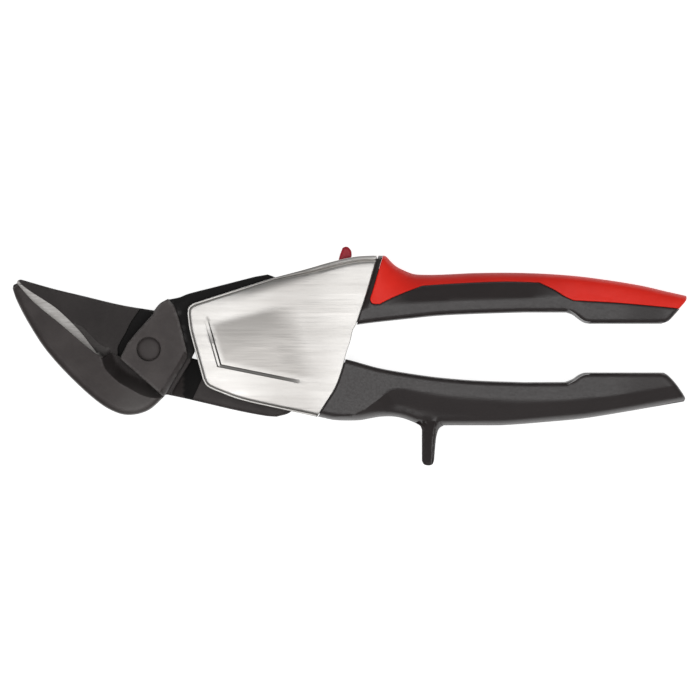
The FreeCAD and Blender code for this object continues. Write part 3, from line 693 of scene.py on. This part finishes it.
def upper_blade():
    plate, strip, above, sloped, bevel, spine = upper_blade_plate()

    def edge(points):
        return 0.4 * np.exp(-((away(points[:, :2], spine) - 0.3) / 0.2) ** 2)

    def ground(points):
        xy, z = points[:, :2], points[:, 2]
        low = ~inside(xy, above) | (away(xy, strip) < 0.05)
        strip_part = low & (z > -0.2) & (z < 0) & (xy[:, 0] < -19)
        polished = 0.09 * np.clip(away(xy, bevel) / 0.35, 0, 1)
        bright = 1.0 - 0.42 * ramp(xy[:, 0], -38.0, -24.0)
        return np.where(strip_part, bright, np.where(inside(xy, sloped) & (z > -2), polished, 0.0))

    # Painted shade on the rear lever's low zone beside the boss and on the pocket by the boss; the
    # rest of the upper blade and its boss are darkened less.
    def raw_and_painted_shade(points):
        x, z = points[:, 0], points[:, 2]
        painted_shade_low = ((x > 14) & (z < -0.3) & (x < 24)) | ((z < -1.5) & (z > -3.4) & (x < 3))
        return np.where(painted_shade_low, 1.0, np.where(x < -3.5, 0.45, 0.25))

    piece("upper_blade_forging", [plate, rear_boss(), rear_lever()], FORGED,
          "upper_blade_forging", ["upper_blade"],
          {"edge": edge, "ground": ground, "raw_and_painted_shade": raw_and_painted_shade})


# ---- pivot bolt ----
def pivot_bolt():
    profile = [(0.0, -9.25), (3.2, -9.25), (3.7, -9.1), (4.0, -8.7), (4.0, 6.42), (DISC, 6.42),
               (DISC, 7.30), (DISC - 0.12, 7.5), (DISC - 0.4, 7.64), (DISC - 1.0, 7.78),
               (2.9, 7.86), (1.9, 7.91), (0.9, 7.94), (0.0, 7.95)]
    piece("pivot_bolt", [lathe_mesh(profile, 64)], FORGED, "lower_blade_forging",
          ["blade_bolt"], {"raw_and_painted_shade": flat(0.18)})


# ---- covers ----
SWING_EDGE = [(80.1, -8.4), (77.4, -15.8), (73.3, -22.5), (69.8, -28.1)]
LEFT_END = [("curve", [(24.0, -15.2), (22.4, -12.5)]),
            ("curve", [(20.0, -3.7), (16.9, 8.0), (16.05, 14.6)]),
            ("curve", [(16.4, 17.0), (18.2, 18.7), (20.0, 19.4)]),
            ("line", [(51.5, 29.5)])]
TOP_LINE = [(64.0, 32.8), (76.2, 36.3), (84.5, 38.1), (88.6, 38.6), (94.7, 38.8)]
CUT_SIDE = [("curve", [(90.1, 22.8), (85.9, 10.1)]), ("line", [(84.6, 7.9)]),
            ("curve", [(83.6, 3.4), (81.8, -1.9)]), ("curve", SWING_EDGE)]


def cover_outline():
    return trail([("line", [SWING_EDGE[-1], (44.0, -22.5)]),
                  ("curve", [(35.9, -20.3), (26.8, -16.8)])] + LEFT_END
                 + [("curve", TOP_LINE)] + CUT_SIDE, 0.7, True)


# Two points of each line bounding the pad, and the width of the crisp wall on it. Rises and folds
# are the wall's height and shadow at the stops, which are parts of that width.
PAD_LEFT = ((28.6, -8.4), (23.2, 10.6), 2.1)
PAD_LOWER = ((28.6, -7.5), (60.4, -13.9), 1.5)
PAD_UPPER = ((24.2, 13.0), (49.2, 19.6))
WALL_STOPS = (0.0, 0.14, 0.28, 0.66, 0.78, 0.90, 1.0)
LEFT_RISE = (0.0, 0.22, 0.45, 0.47, 0.65, 0.83, 1.0)
LOWER_RISE = (0.0, 0.18, 0.37, 0.60, 0.74, 0.88, 1.0)
LEFT_FOLD = (0.0, 0.40, 0.0, 0.0, 0.95, 0.95, 0.0)
LOWER_FOLD = (0.0, 0.70, 0.35, 0.30, 0.75, 0.70, 0.0)


def pad_reach(xy):
    """How far each point lies inside the left, lower and upper lines of the raised pad."""
    return -side_of(xy, *PAD_LEFT[:2]), side_of(xy, *PAD_LOWER[:2]), -side_of(xy, *PAD_UPPER)


def past_pad(xy, low, high):
    """0 over the pad, 1 beyond its slanted right end."""
    return ramp(xy[:, 0] + 0.25 * xy[:, 1], low, high)


def pad_height(xy):
    """Raised pad: two crisp steps on its left and lower sides, soft above and to the right."""
    left, lower, upper = pad_reach(xy)
    step = np.minimum(np.interp(left / PAD_LEFT[2], WALL_STOPS, LEFT_RISE),
                      np.interp(lower / PAD_LOWER[2], WALL_STOPS, LOWER_RISE))
    run = np.clip((upper - 2.6) / 14.0, 0, 1)
    soft = run * (1.5 - 0.5 * run) * (1 - past_pad(xy, 50.0, 66.0))
    crown = ramp(np.minimum(np.minimum(left, lower), upper), 1.0, 13.0)
    return (PAD_STEP * step + PAD_CROWN * crown) * soft


def pad_fold(xy):
    """Shadowed folds of the pad's two walls, fading out where the walls do."""
    left, lower, upper = pad_reach(xy)
    across, up = left / PAD_LEFT[2], lower / PAD_LOWER[2]
    on_left = np.interp(across, WALL_STOPS, LEFT_RISE) < np.interp(up, WALL_STOPS, LOWER_RISE)
    fold = np.where(on_left, np.interp(across, WALL_STOPS, LEFT_FOLD),
                    np.interp(up, WALL_STOPS, LOWER_FOLD))
    return fold * ramp(upper, -2.0, 2.0) * (1 - past_pad(xy, 50.0, 59.0))


def darkened_face(xy):
    """Darker colour: full on the flat of the pad, less on the broad right part of the cover."""
    left, lower, upper = pad_reach(xy)
    reach = np.minimum(np.minimum(left - PAD_LEFT[2], lower - PAD_LOWER[2]), upper - 2.5)
    face = ramp(reach, 0.0, 2.4) * (1 - past_pad(xy, 56.0, 80.0))
    return np.maximum(face, 0.6 * between(xy[:, 0], 34.0, 56.0, 64.0, 84.0))


def pad_lines():
    """Lines along the folds of the pad's two walls, mitred at their corner."""
    (a, b, wide), (c, d, deep) = PAD_LEFT, PAD_LOWER
    up = np.subtract(b, a) / norm(np.subtract(b, a))
    along = np.subtract(d, c) / norm(np.subtract(d, c))
    lines = []
    for stop in WALL_STOPS:
        start = np.array(a) + stop * wide * np.array((up[1], -up[0]))
        foot = np.array(c) + stop * deep * np.array((-along[1], along[0]))
        turn = np.linalg.solve(np.column_stack([up, -along]), foot - start)
        corner = start + turn[0] * up
        lines.append(trail([("line", [start + 19.5 * up, corner, foot + 34.0 * along])], 0.6))
    return lines


SCREW_SEATS = ((25.0, 0.5), (50.0, 21.0), (84.0, 26.0))


def cover_edge():
    """The formed edge of a cover: lower side, left end and rolled upper side."""
    return trail([("curve", [(71.0, -28.3), (44.0, -22.5), (35.9, -20.3), (26.8, -16.8)])]
                 + LEFT_END + [("curve", TOP_LINE)], 0.7)


def rolled(xy):
    """1 where the cover's upper edge is rolled over, 0 along its plain grooved edge."""
    return ramp(xy[:, 0], 50.0, 76.0) * (xy[:, 1] > 0)


def groove_at(xy):
    """Distance of the groove from a cover's edge."""
    return 0.88 + 1.1 * rolled(xy)


def groove_width(xy):
    """Half width of the groove, wider under the rolled edge."""
    return 0.24 + 0.20 * rolled(xy)


def cover_half(front):
    """One cover's face and formed edge; the front one has the pad, the rear one screw seats."""
    outline = cover_outline()
    edge = cover_edge()
    cut_side = trail([("line", TOP_LINE[-1:])] + CUT_SIDE, 0.7)
    upper_edge = trail([("line", [(20.0, 19.4), (51.5, 29.5)]), ("curve", TOP_LINE)], 0.7)

    def top(xy):
        near = away(xy, edge)
        roll = rolled(xy)
        groove = np.exp(-((near - groove_at(xy)) / groove_width(xy)) ** 2)
        height = COVER_FACE - (1 + 0.5 * roll) * rounding(near, 0.12)
        height -= (0.30 + 0.45 * roll) * groove
        height -= (0.30 - 0.24 * roll) * np.exp(-near / 2.4) + 0.4 * roll * rounding(near, 0.6)
        height -= rounded(xy, cut_side, 0.3)
        if front:
            margin = np.clip(5.6 - away(xy, upper_edge), 0, 5.6)
            shade = ramp(xy[:, 0], 24.0, 46.0) * (1 - 0.3 * ramp(xy[:, 0], 62.0, 84.0))
            foot = np.clip(-9.0 - xy[:, 1], 0, 20) * ramp(xy[:, 0], 30.0, 44.0)
            return height + pad_height(xy) - 0.021 * shade * margin**2 - 0.0016 * foot**2
        for seat in SCREW_SEATS:
            reach = np.hypot(xy[:, 0] - seat[0], xy[:, 1] - seat[1])
            height = np.where(reach < SCREW_SEAT, COVER_FACE - SEAT_DEPTH, height)
        return height

    def bottom(xy):
        inner = away(xy, outline, True) > SHEET - 0.02
        return np.where(inner, top(xy) - SHEET, COVER_LIP)

    creases = [shifted(edge, -(groove_at(edge) + side * groove_width(edge)))[2:-2]
               for side in (-1.3, -0.6, 0.0, 0.6, 1.3)]
    if front:
        creases += pad_lines()
    else:
        creases += [ring(circle(seat, SCREW_SEAT + side, 40))
                    for seat in SCREW_SEATS for side in (-0.05, 0.05)]
    rims = (0.05, 0.12, 0.3, 0.45, 1.3, 1.65, 2.0, 2.4, 3.0, 3.8, 4.8)
    return relief_mesh(outline, top, bottom, rims, creases, 1.1, not front)


def cover_wall(front):
    """Rolled upper side of a cover, with the slot for the latch tab."""
    outer = curve([(58.0, 31.2), (64.0, 32.7), (76.2, 36.2), (88.6, 38.5), (94.5, 38.7)])
    inner = shifted(outer, -SHEET)[::-1]
    outline = np.vstack([outer, inner])

    def bottom(xy):
        in_slot = (xy[:, 0] > TAB_SLOT[0]) & (xy[:, 0] < TAB_SLOT[1])
        return np.where(in_slot, 4.6, 0.2)

    cuts = []
    for x in TAB_SLOT:
        y = np.interp(x, outer[:, 0], outer[:, 1])
        cuts += [np.array([(x + shift, y - SHEET * 0.95), (x + shift, y - 0.05)])
                 for shift in (-0.04, 0.04)]
    return relief_mesh(outline, flat(COVER_LIP + 0.3), bottom, (), cuts, 0.9, not front)


def covers():
    edge = cover_edge()

    # Painted shadow: a dark line along the groove beside the formed edge, on the outer faces only.
    def groove(points):
        near = away(points[:, :2], edge)
        line = np.exp(-((near - groove_at(points[:, :2])) / 0.22) ** 2)
        return 0.5 * line * (np.abs(points[:, 2]) > COVER_LIP + 0.5)

    # Painted shadow in the groove and in the folds of the pad's walls.
    def fold(points):
        return np.maximum(groove(points), pad_fold(points[:, :2]) * (points[:, 2] > COVER_LIP))

    def panel(points):
        return darkened_face(points[:, :2])

    piece("front_cover_shell", [cover_half(True), cover_wall(True)], COVER, "upper_handle",
          ["cover_front"], {"fold": fold, "panel": panel}, math.radians(22))
    piece("rear_cover_shell", [cover_half(False), cover_wall(False)], COVER, "upper_handle",
          ["cover_rear"], {"fold": groove}, math.radians(40))


# ---- grips ----
def on_ledge(xy):
    """1 along the step near a grip's tip, 0 before and after it."""
    return between(xy[:, 0], 172.8, 175.6, 180.6, 183.4)


def rubbed_edge(outline):
    """Mark of a grip's edge, rubbed a little paler by the hand."""
    return lambda points: np.exp(-((away(points[:, :2], outline, True) - 0.7) / 0.4) ** 2)


def neck(mouth, under_cover):
    """Plug of a grip that reaches a little way in between the covers."""
    outline = np.vstack([shifted(mouth, under_cover),
                         shifted(mouth, -0.8 * np.sign(under_cover))[::-1]])
    return relief_mesh(outline, flat(NECK_HALF), flat(-NECK_HALF), (), (), 1.2)


UPPER_TOP = [(95.2, 38.8), (98.2, 38.6), (100.4, 36.3), (102.7, 34.3), (105.6, 32.8),
             (109.4, 31.3), (112.7, 30.9), (120.4, 30.9), (136.2, 31.6), (156.0, 31.6),
             (173.9, 30.6), (187.7, 29.0), (204.0, 26.4), (215.0, 23.9), (223.15, 22.1)]
UPPER_UNDER = [("line", [(212.6, 10.5)]), ("line", [(183.0, 10.5)]),
               ("curve", [(180.6, 11.0), (178.4, 12.4), (176.0, 14.2), (173.4, 15.2)]),
               ("line", [(156.0, 15.2)]),
               ("curve", [(136.2, 14.6), (119.8, 13.8), (106.2, 12.4), (93.3, 11.0), (86.2, 10.1)])]
UPPER_TIP = [("line", [(223.15, 22.1)]), ("curve", [(223.15, 21.2), (222.6, 19.8)]),
             ("curve", [(218.1, 14.3), (215.4, 11.6), (212.6, 10.5)])]
UPPER_MOUTH = [(86.2, 10.1), (90.4, 22.8), (95.2, 38.8)]
UPPER_RIDGE = [(86.0, 16.5), (100.0, 18.2), (113.0, 19.3), (128.6, 20.0), (150.0, 20.8),
               (162.4, 21.3), (172.0, 22.4)]
INLAY_BORDER = [("line", [(97.0, 38.75), (92.5, 23.3)]),
                ("curve", [(91.7, 20.6), (92.6, 18.8), (95.6, 18.6)]),
                ("curve", [(100.1, 20.9), (106.2, 23.5), (113.3, 26.2)]),
                ("curve", [(128.6, 27.2), (147.7, 27.9), (161.8, 27.5)]),
                ("curve", [(168.1, 24.4), (172.6, 21.6), (175.9, 20.1)]),
                ("curve", [(194.9, 19.0), (212.0, 17.5), (219.9, 16.7)])]


def upper_grip():
    outline = trail([("curve", UPPER_TOP)] + UPPER_TIP + UPPER_UNDER[1:]
                    + [("curve", UPPER_MOUTH[1:])], 0.8, True)
    top_line = curve(UPPER_TOP)
    under = trail(UPPER_UNDER, 0.8)
    tip = trail(UPPER_TIP, 0.6)
    mouth = curve(UPPER_MOUTH)
    ridge = curve(UPPER_RIDGE)
    border = trail(INLAY_BORDER, 0.6)
    ledge = curve([(183.4, 10.2), (180.6, 10.4), (178.4, 11.6), (175.6, 13.9), (172.6, 15.6)], 0.5)
    over_ridge = np.vstack([ridge, [(235.0, 24.0), (235.0, 60.0), (60.0, 60.0), (60.0, 14.0)]])

    def height(xy):
        beyond = np.where(inside(xy, over_ridge), away(xy, ridge), 0.0)
        fade = between(xy[:, 0], 94.0, 113.0, 152.0, 178.0)
        slope = fade * (0.36 * beyond + 0.03 * np.clip(beyond - 4.5, 0, 8) ** 2)
        up = away(xy, top_line)
        down = away(xy, under)
        value = COVER_FACE - slope
        value -= LEDGE_DROP * on_ledge(xy) * (1 - ramp(away(xy, ledge), 0.95, 1.25))
        value -= (1.9 - 0.7 * fade) * rounding(up, 2.4) + 1.7 * rounding(down, 1.7)
        value -= 0.028 * ramp(xy[:, 0], 150.0, 180.0) * np.clip(6.0 - up, 0, 6.0) ** 2
        value -= 0.10 * np.clip(6.0 - down, 0, 6.0)
        value -= rounded(xy, tip, 1.5) + 2.4 * ramp(xy[:, 0], *GRIP_END)
        by_mouth = away(xy, mouth)
        value -= 0.35 * rounding(by_mouth, 0.5)
        value -= 0.62 * np.clip(2.2 - by_mouth, 0, 2.2) * ramp(xy[:, 1], 15.0, 21.0)
        return np.maximum(value, 1.2)

    def top(xy):
        return height(xy) - 0.8 * rounded(xy, border, 0.45)

    def bottom(xy):
        return -top(xy)

    def shell(part_outline, creases):
        return relief_mesh(part_outline, top, bottom, (0.15, 0.45, 0.9, 1.5, 2.2), creases, 1.5)

    black_outline = trail([("line", [(95.2, 38.8), (96.8, 38.75)])] + INLAY_BORDER
                          + [("line", [(220.0, 16.5)])] + UPPER_TIP[2:] + UPPER_UNDER[1:]
                          + [("curve", UPPER_MOUTH[1:])], 0.7, True)
    lifted = [(kind, [(x + 0.12, y + 0.12) for x, y in points]) for kind, points in INLAY_BORDER]
    red_outline = trail(lifted + [("curve", [(222.6, 19.8), (223.15, 21.2), (223.15, 22.1)])]
                        + [("curve", UPPER_TOP[-2:0:-1] + [(97.1, 38.76)])], 0.7, True)

    crease = ridge[1:-1]
    crease = crease[inside(crease, black_outline) & (away(crease, black_outline, True) > 0.3)]
    creases = [crease] + [shifted(ledge, -by)[2:-2] for by in (0.95, 1.25)]
    plug = curve([(86.5, 11.2), (90.4, 22.8), (94.8, 37.5)])
    edge = rubbed_edge(outline)

    def faint_edge(points):
        return 0.3 * edge(points)

    # Painted shade: darkens the red inlay towards its top edge, most along its middle.
    def shade(points):
        x = points[:, 0]
        up = away(points[:, :2], top_line)
        waist = between(x, 98.0, 113.0, 152.0, 180.0)
        return 0.9 * waist * np.exp(-up / 4.5) + 0.5 * (1 - waist) * np.exp(-up / 2.2)

    piece("upper_grip_shell", [shell(black_outline, creases), neck(plug, 1.8)], BLACK,
          "upper_handle", ["upper_grip"], {"edge": edge})
    piece("upper_grip_red_inlay", [shell(red_outline, [])], RED, "upper_handle",
          ["upper_grip_inlay"], {"edge": faint_edge, "shade": shade})


LOWER_TOP = [("curve", [(81.55, -4.2), (83.9, -4.7), (95.6, -7.9), (108.0, -10.1), (120.4, -11.8),
                        (136.2, -13.1), (156.0, -13.8)]),
             ("line", [(173.0, -13.7)]),
             ("curve", [(176.1, -12.4), (178.4, -10.8), (180.6, -9.9), (182.6, -9.8)]),
             ("line", [(213.7, -9.8)])]
LOWER_TIP = [("curve", [(215.4, -11.0), (218.1, -13.8), (221.4, -18.2)]),
             ("curve", [(222.7, -20.6), (222.2, -21.8)])]
LOWER_BELLY_RIGHT = [("curve", [(212.0, -23.6), (196.0, -26.4), (180.0, -28.9), (164.0, -30.4),
                                (148.0, -31.6), (136.2, -31.7), (122.4, -31.7)])]
SPUR = [("curve", [(120.4, -33.0), (119.3, -36.0), (118.7, -41.0), (118.3, -46.1)]),
        ("curve", [(117.6, -47.8), (115.9, -48.3), (114.0, -47.8), (113.3, -46.4)]),
        ("line", [(113.3, -33.6)]), ("curve", [(112.6, -31.9), (110.6, -30.7)])]
LOWER_BELLY_LEFT = [("curve", [(106.2, -29.0), (102.7, -28.2), (99.8, -28.0), (95.6, -28.2),
                               (90.9, -29.0), (87.4, -29.6), (80.0, -29.7), (76.2, -29.4),
                               (70.3, -28.1)])]
CREASE = [(74.0, -28.6), (79.0, -27.9), (83.9, -27.4), (88.6, -25.5), (92.1, -23.1),
          (95.6, -20.5), (99.6, -17.4), (104.0, -16.3), (112.0, -17.0), (128.0, -18.6),
          (150.0, -20.0), (172.0, -20.4), (190.0, -19.3), (205.0, -17.0), (219.0, -14.6)]
RIDGE_X = (117.0, 117.3, 118.3, 119.6)
RIDGE_Y = (-47.0, -40.0, -32.0, -24.5)


def lower_grip():
    mouth_points = [(81.55, -4.2)] + [(x + 0.35, y) for x, y in SWING_EDGE]
    outline = trail(LOWER_TOP + LOWER_TIP + LOWER_BELLY_RIGHT + SPUR + LOWER_BELLY_LEFT
                    + [("curve", mouth_points[::-1])], 0.8, True)
    top_line = trail(LOWER_TOP, 0.8)
    tip = trail(LOWER_TOP[-1:] + LOWER_TIP, 0.6)
    belly = trail([("line", [(222.2, -21.8)])] + LOWER_BELLY_RIGHT
                  + [("line", [(110.6, -30.7)])] + LOWER_BELLY_LEFT, 0.8)
    mouth = curve(mouth_points)
    crease = curve(CREASE)
    below = np.vstack([crease, [(240.0, -14.6), (240.0, -60.0), (60.0, -60.0), (60.0, -28.6)]])
    spur_axis = curve([(115.8, -46.6), (115.9, -38.0), (116.8, -30.0), (117.4, -25.0)])
    ledge = curve([(172.6, -14.2), (176.1, -12.2), (178.4, -10.6), (180.6, -9.7), (183.4, -9.6)],
                  0.5)

    def grip(xy):
        under = np.where(inside(xy, below), away(xy, crease), 0.0)
        soft = 0.05 + ramp(xy[:, 0], 98.0, 128.0) * (3.2 - 2.0 * ramp(xy[:, 0], 155.0, 190.0))
        under = np.sqrt(under * under + soft * soft) - soft
        hollow = between(xy[:, 0], 78.0, 92.0, 100.0, 116.0)
        run = 26.0 - 21.5 * ramp(xy[:, 0], 150.0, 195.0)
        steep = 0.60 + 0.08 * hollow + 0.22 * ramp(xy[:, 0], 150.0, 195.0)
        fall = steep * run * (1 - np.exp(-under / run))
        fall /= (1 + (fall / OVER_CORE) ** 6) ** (1 / 6)
        value = COVER_FACE - fall
        value -= LEDGE_DROP * on_ledge(xy) * (1 - ramp(away(xy, ledge), 0.75, 1.05))
        value -= 2.0 * rounded(xy, belly, 3.0) + 1.7 * rounded(xy, top_line, 1.6)
        value -= rounded(xy, tip, 1.6) + 2.2 * ramp(xy[:, 0], *GRIP_END)
        return value - 0.35 * rounded(xy, mouth, 0.5)

    def spur(xy):
        reach = away(xy, spur_axis)
        ridge = np.interp(xy[:, 1], RIDGE_Y, RIDGE_X)
        lean = 0.50 * np.clip(ridge - xy[:, 0], 0, 5) + 0.7 * np.clip(xy[:, 0] - ridge - 0.5, 0, 5)
        root = 0.06 * np.clip(xy[:, 1] + 33.0, 0, 20) ** 2
        return 6.4 - lean - 0.25 * np.clip(reach - 1.6, 0, 8) ** 2 - root

    def top(xy):
        a = grip(xy) - 4.0 * np.clip(-31.4 - xy[:, 1], 0, 4)
        b = spur(xy)
        soft = 1.6
        blend = np.clip(0.5 + 0.5 * (a - b) / soft, 0, 1)
        return np.maximum(b + (a - b) * blend + soft * blend * (1 - blend) * 0.5, 1.0)

    def bottom(xy):
        return -top(xy)

    lines = [crease[3:-4]] + [shifted(ledge, -by)[2:-2] for by in (0.75, 1.05)]
    for beside in (0.0, 0.5):
        lines.append(curve([(x + beside, y) for x, y in zip(RIDGE_X, RIDGE_Y)])[2:])
    mesh = relief_mesh(outline, top, bottom, (0.15, 0.45, 0.9, 1.5, 2.2, 3.0), lines, 1.4)
    piece("lower_grip_shell", [mesh, neck(mouth[2:-2], -1.6)], BLACK, "lower_handle",
          ["lower_grip"], {"edge": rubbed_edge(outline)})


# ---- latch ----
def thumb_tab():
    outline = trail([
        ("line", [(78.6, 36.9)]),
        ("curve", [(79.3, 39.4), (80.3, 42.0)]),
        ("curve", [(81.5, 42.55), (82.8, 42.2), (84.0, 40.7)]),
        ("curve", [(84.1, 39.0), (83.8, 37.4)]),
        ("line", [(83.0, 36.2), (79.0, 36.0)]),
    ], 0.4, True)

    def top(xy):
        return 3.74 - rounded(xy, outline, 0.9, True)

    def bottom(xy):
        return 0.26 + rounded(xy, outline, 0.9, True)

    mesh = relief_mesh(outline, top, bottom, (0.1, 0.25, 0.5, 0.9), (), 0.8)
    piece("thumb_tab", [mesh], TAB_RED, "latch", ["latch_tab"], {"edge": flat(0.0)})


# ---- CAD nodes that keep their own shape ----
FINISHES = (
    (CORE, ("upper_handle_core", "lower_handle_core", "latch_lever")),
    (BOLT, ("cover_screws", "blade_nut")),
    (BRIGHT, ("handle_pivot_pin", "upper_lever_pin", "lower_lever_pin", "cover_post", "pin_spacers",
              "latch_pin", "spring_stop", "spring_post")),
    (SPRING, ("blade_washer", "lever_retainer", "lower_pin_clip", "opening_spring")),
    (BRONZE, ("upper_lever_bush", "blade_bush")),
)


def finish_cad_nodes():
    """Gives each CAD node that stays its material and a small edge break."""
    for material, name in [(material, name) for material, names in FINISHES for name in names]:
        obj = frame["nodes"][name]
        for slot in obj.material_slots:
            slot.material = material
        if not obj.material_slots:
            obj.data.materials.append(material)
        bevel = obj.modifiers.new("edge_break", "BEVEL")
        bevel.width = 0.15 * MM
        bevel.segments = 2
        bevel.limit_method = "ANGLE"
        bevel.angle_limit = math.radians(40)


# ---- stage ----
PICTURE_CENTRE = (83.4, -0.4)   # mm from the blade pivot
PICTURE_WIDTH = 289.9           # mm at the height of the cover's face
CAMERA_HEIGHT = 2.4             # this and the floor's sizes are in metres
FLOOR_REACH = 3.0
FLOOR_DROP = 0.0002
SENSOR = 36.0


def studio():
    """Pale floor, a broad soft light overhead, a camera looking straight down."""
    grid = np.linspace(-FLOOR_REACH, FLOOR_REACH, 13)
    gx, gy = np.meshgrid(grid, grid)
    verts = np.column_stack([gx.ravel(), gy.ravel(), np.full(gx.size, CAD_BOX[0][2] - FLOOR_DROP)])
    count = len(grid)
    faces = [(r * count + c, r * count + c + 1, (r + 1) * count + c + 1, (r + 1) * count + c)
             for r in range(count - 1) for c in range(count - 1)]
    mesh = bpy.data.meshes.new("pale_floor")
    mesh.from_pydata(verts.tolist(), [], faces)
    floor = linked("pale_floor", mesh)
    paint = Nodes("floor_paint", (0.6, 0.6, 0.6), 0.9)
    paint.color(paint.mix(paint.noise(6, 2), (0.595, 0.595, 0.595), (0.605, 0.605, 0.605)))
    paint.fill(paint.shader, {"Emission Color": (1, 1, 1, 1), "Emission Strength": 0.8})
    mesh.materials.append(paint.material)

    world = bpy.data.worlds.new("studio")
    world.use_nodes = True
    sky = world.node_tree.nodes["Background"].inputs
    sky["Color"].default_value = (1, 1, 1, 1)
    sky["Strength"].default_value = 0.22
    bpy.context.scene.world = world

    def area(name, place, size, power, mirrored=True):
        """A panel of light aimed at the frame's origin."""
        light = bpy.data.lights.new(name, "AREA")
        light.shape = "RECTANGLE"
        light.size, light.size_y = size
        light.energy = power
        obj = linked(name, light)
        obj.location = place
        obj.rotation_euler = (-Vector(place)).to_track_quat("-Z", "Y").to_euler()
        obj.visible_glossy = mirrored

    area("softbox_overhead", (0.0, -0.12, 1.3), (0.95, 0.75), 3.7)
    area("softbox_front", (0.1, -1.1, 0.8), (1.2, 0.5), 0.3)
    area("fill_overhead", (0.0, -0.1, 1.35), (1.0, 1.0), 6.6, False)

    camera_data = bpy.data.cameras.new("camera")
    camera_data.sensor_width = SENSOR
    reach = CAMERA_HEIGHT - PIVOT[2] - COVER_FACE * MM
    camera_data.lens = SENSOR * reach / (PICTURE_WIDTH * MM)
    camera = linked("camera", camera_data)
    camera.location = (PIVOT[0] + PICTURE_CENTRE[0] * MM, PIVOT[1] + PICTURE_CENTRE[1] * MM,
                       CAMERA_HEIGHT)
    bpy.context.scene.camera = camera
    bpy.context.scene.view_settings.view_transform = "Standard"


lower_blade()
upper_blade()
pivot_bolt()
covers()
upper_grip()
lower_grip()
thumb_tab()
finish_cad_nodes()
studio()
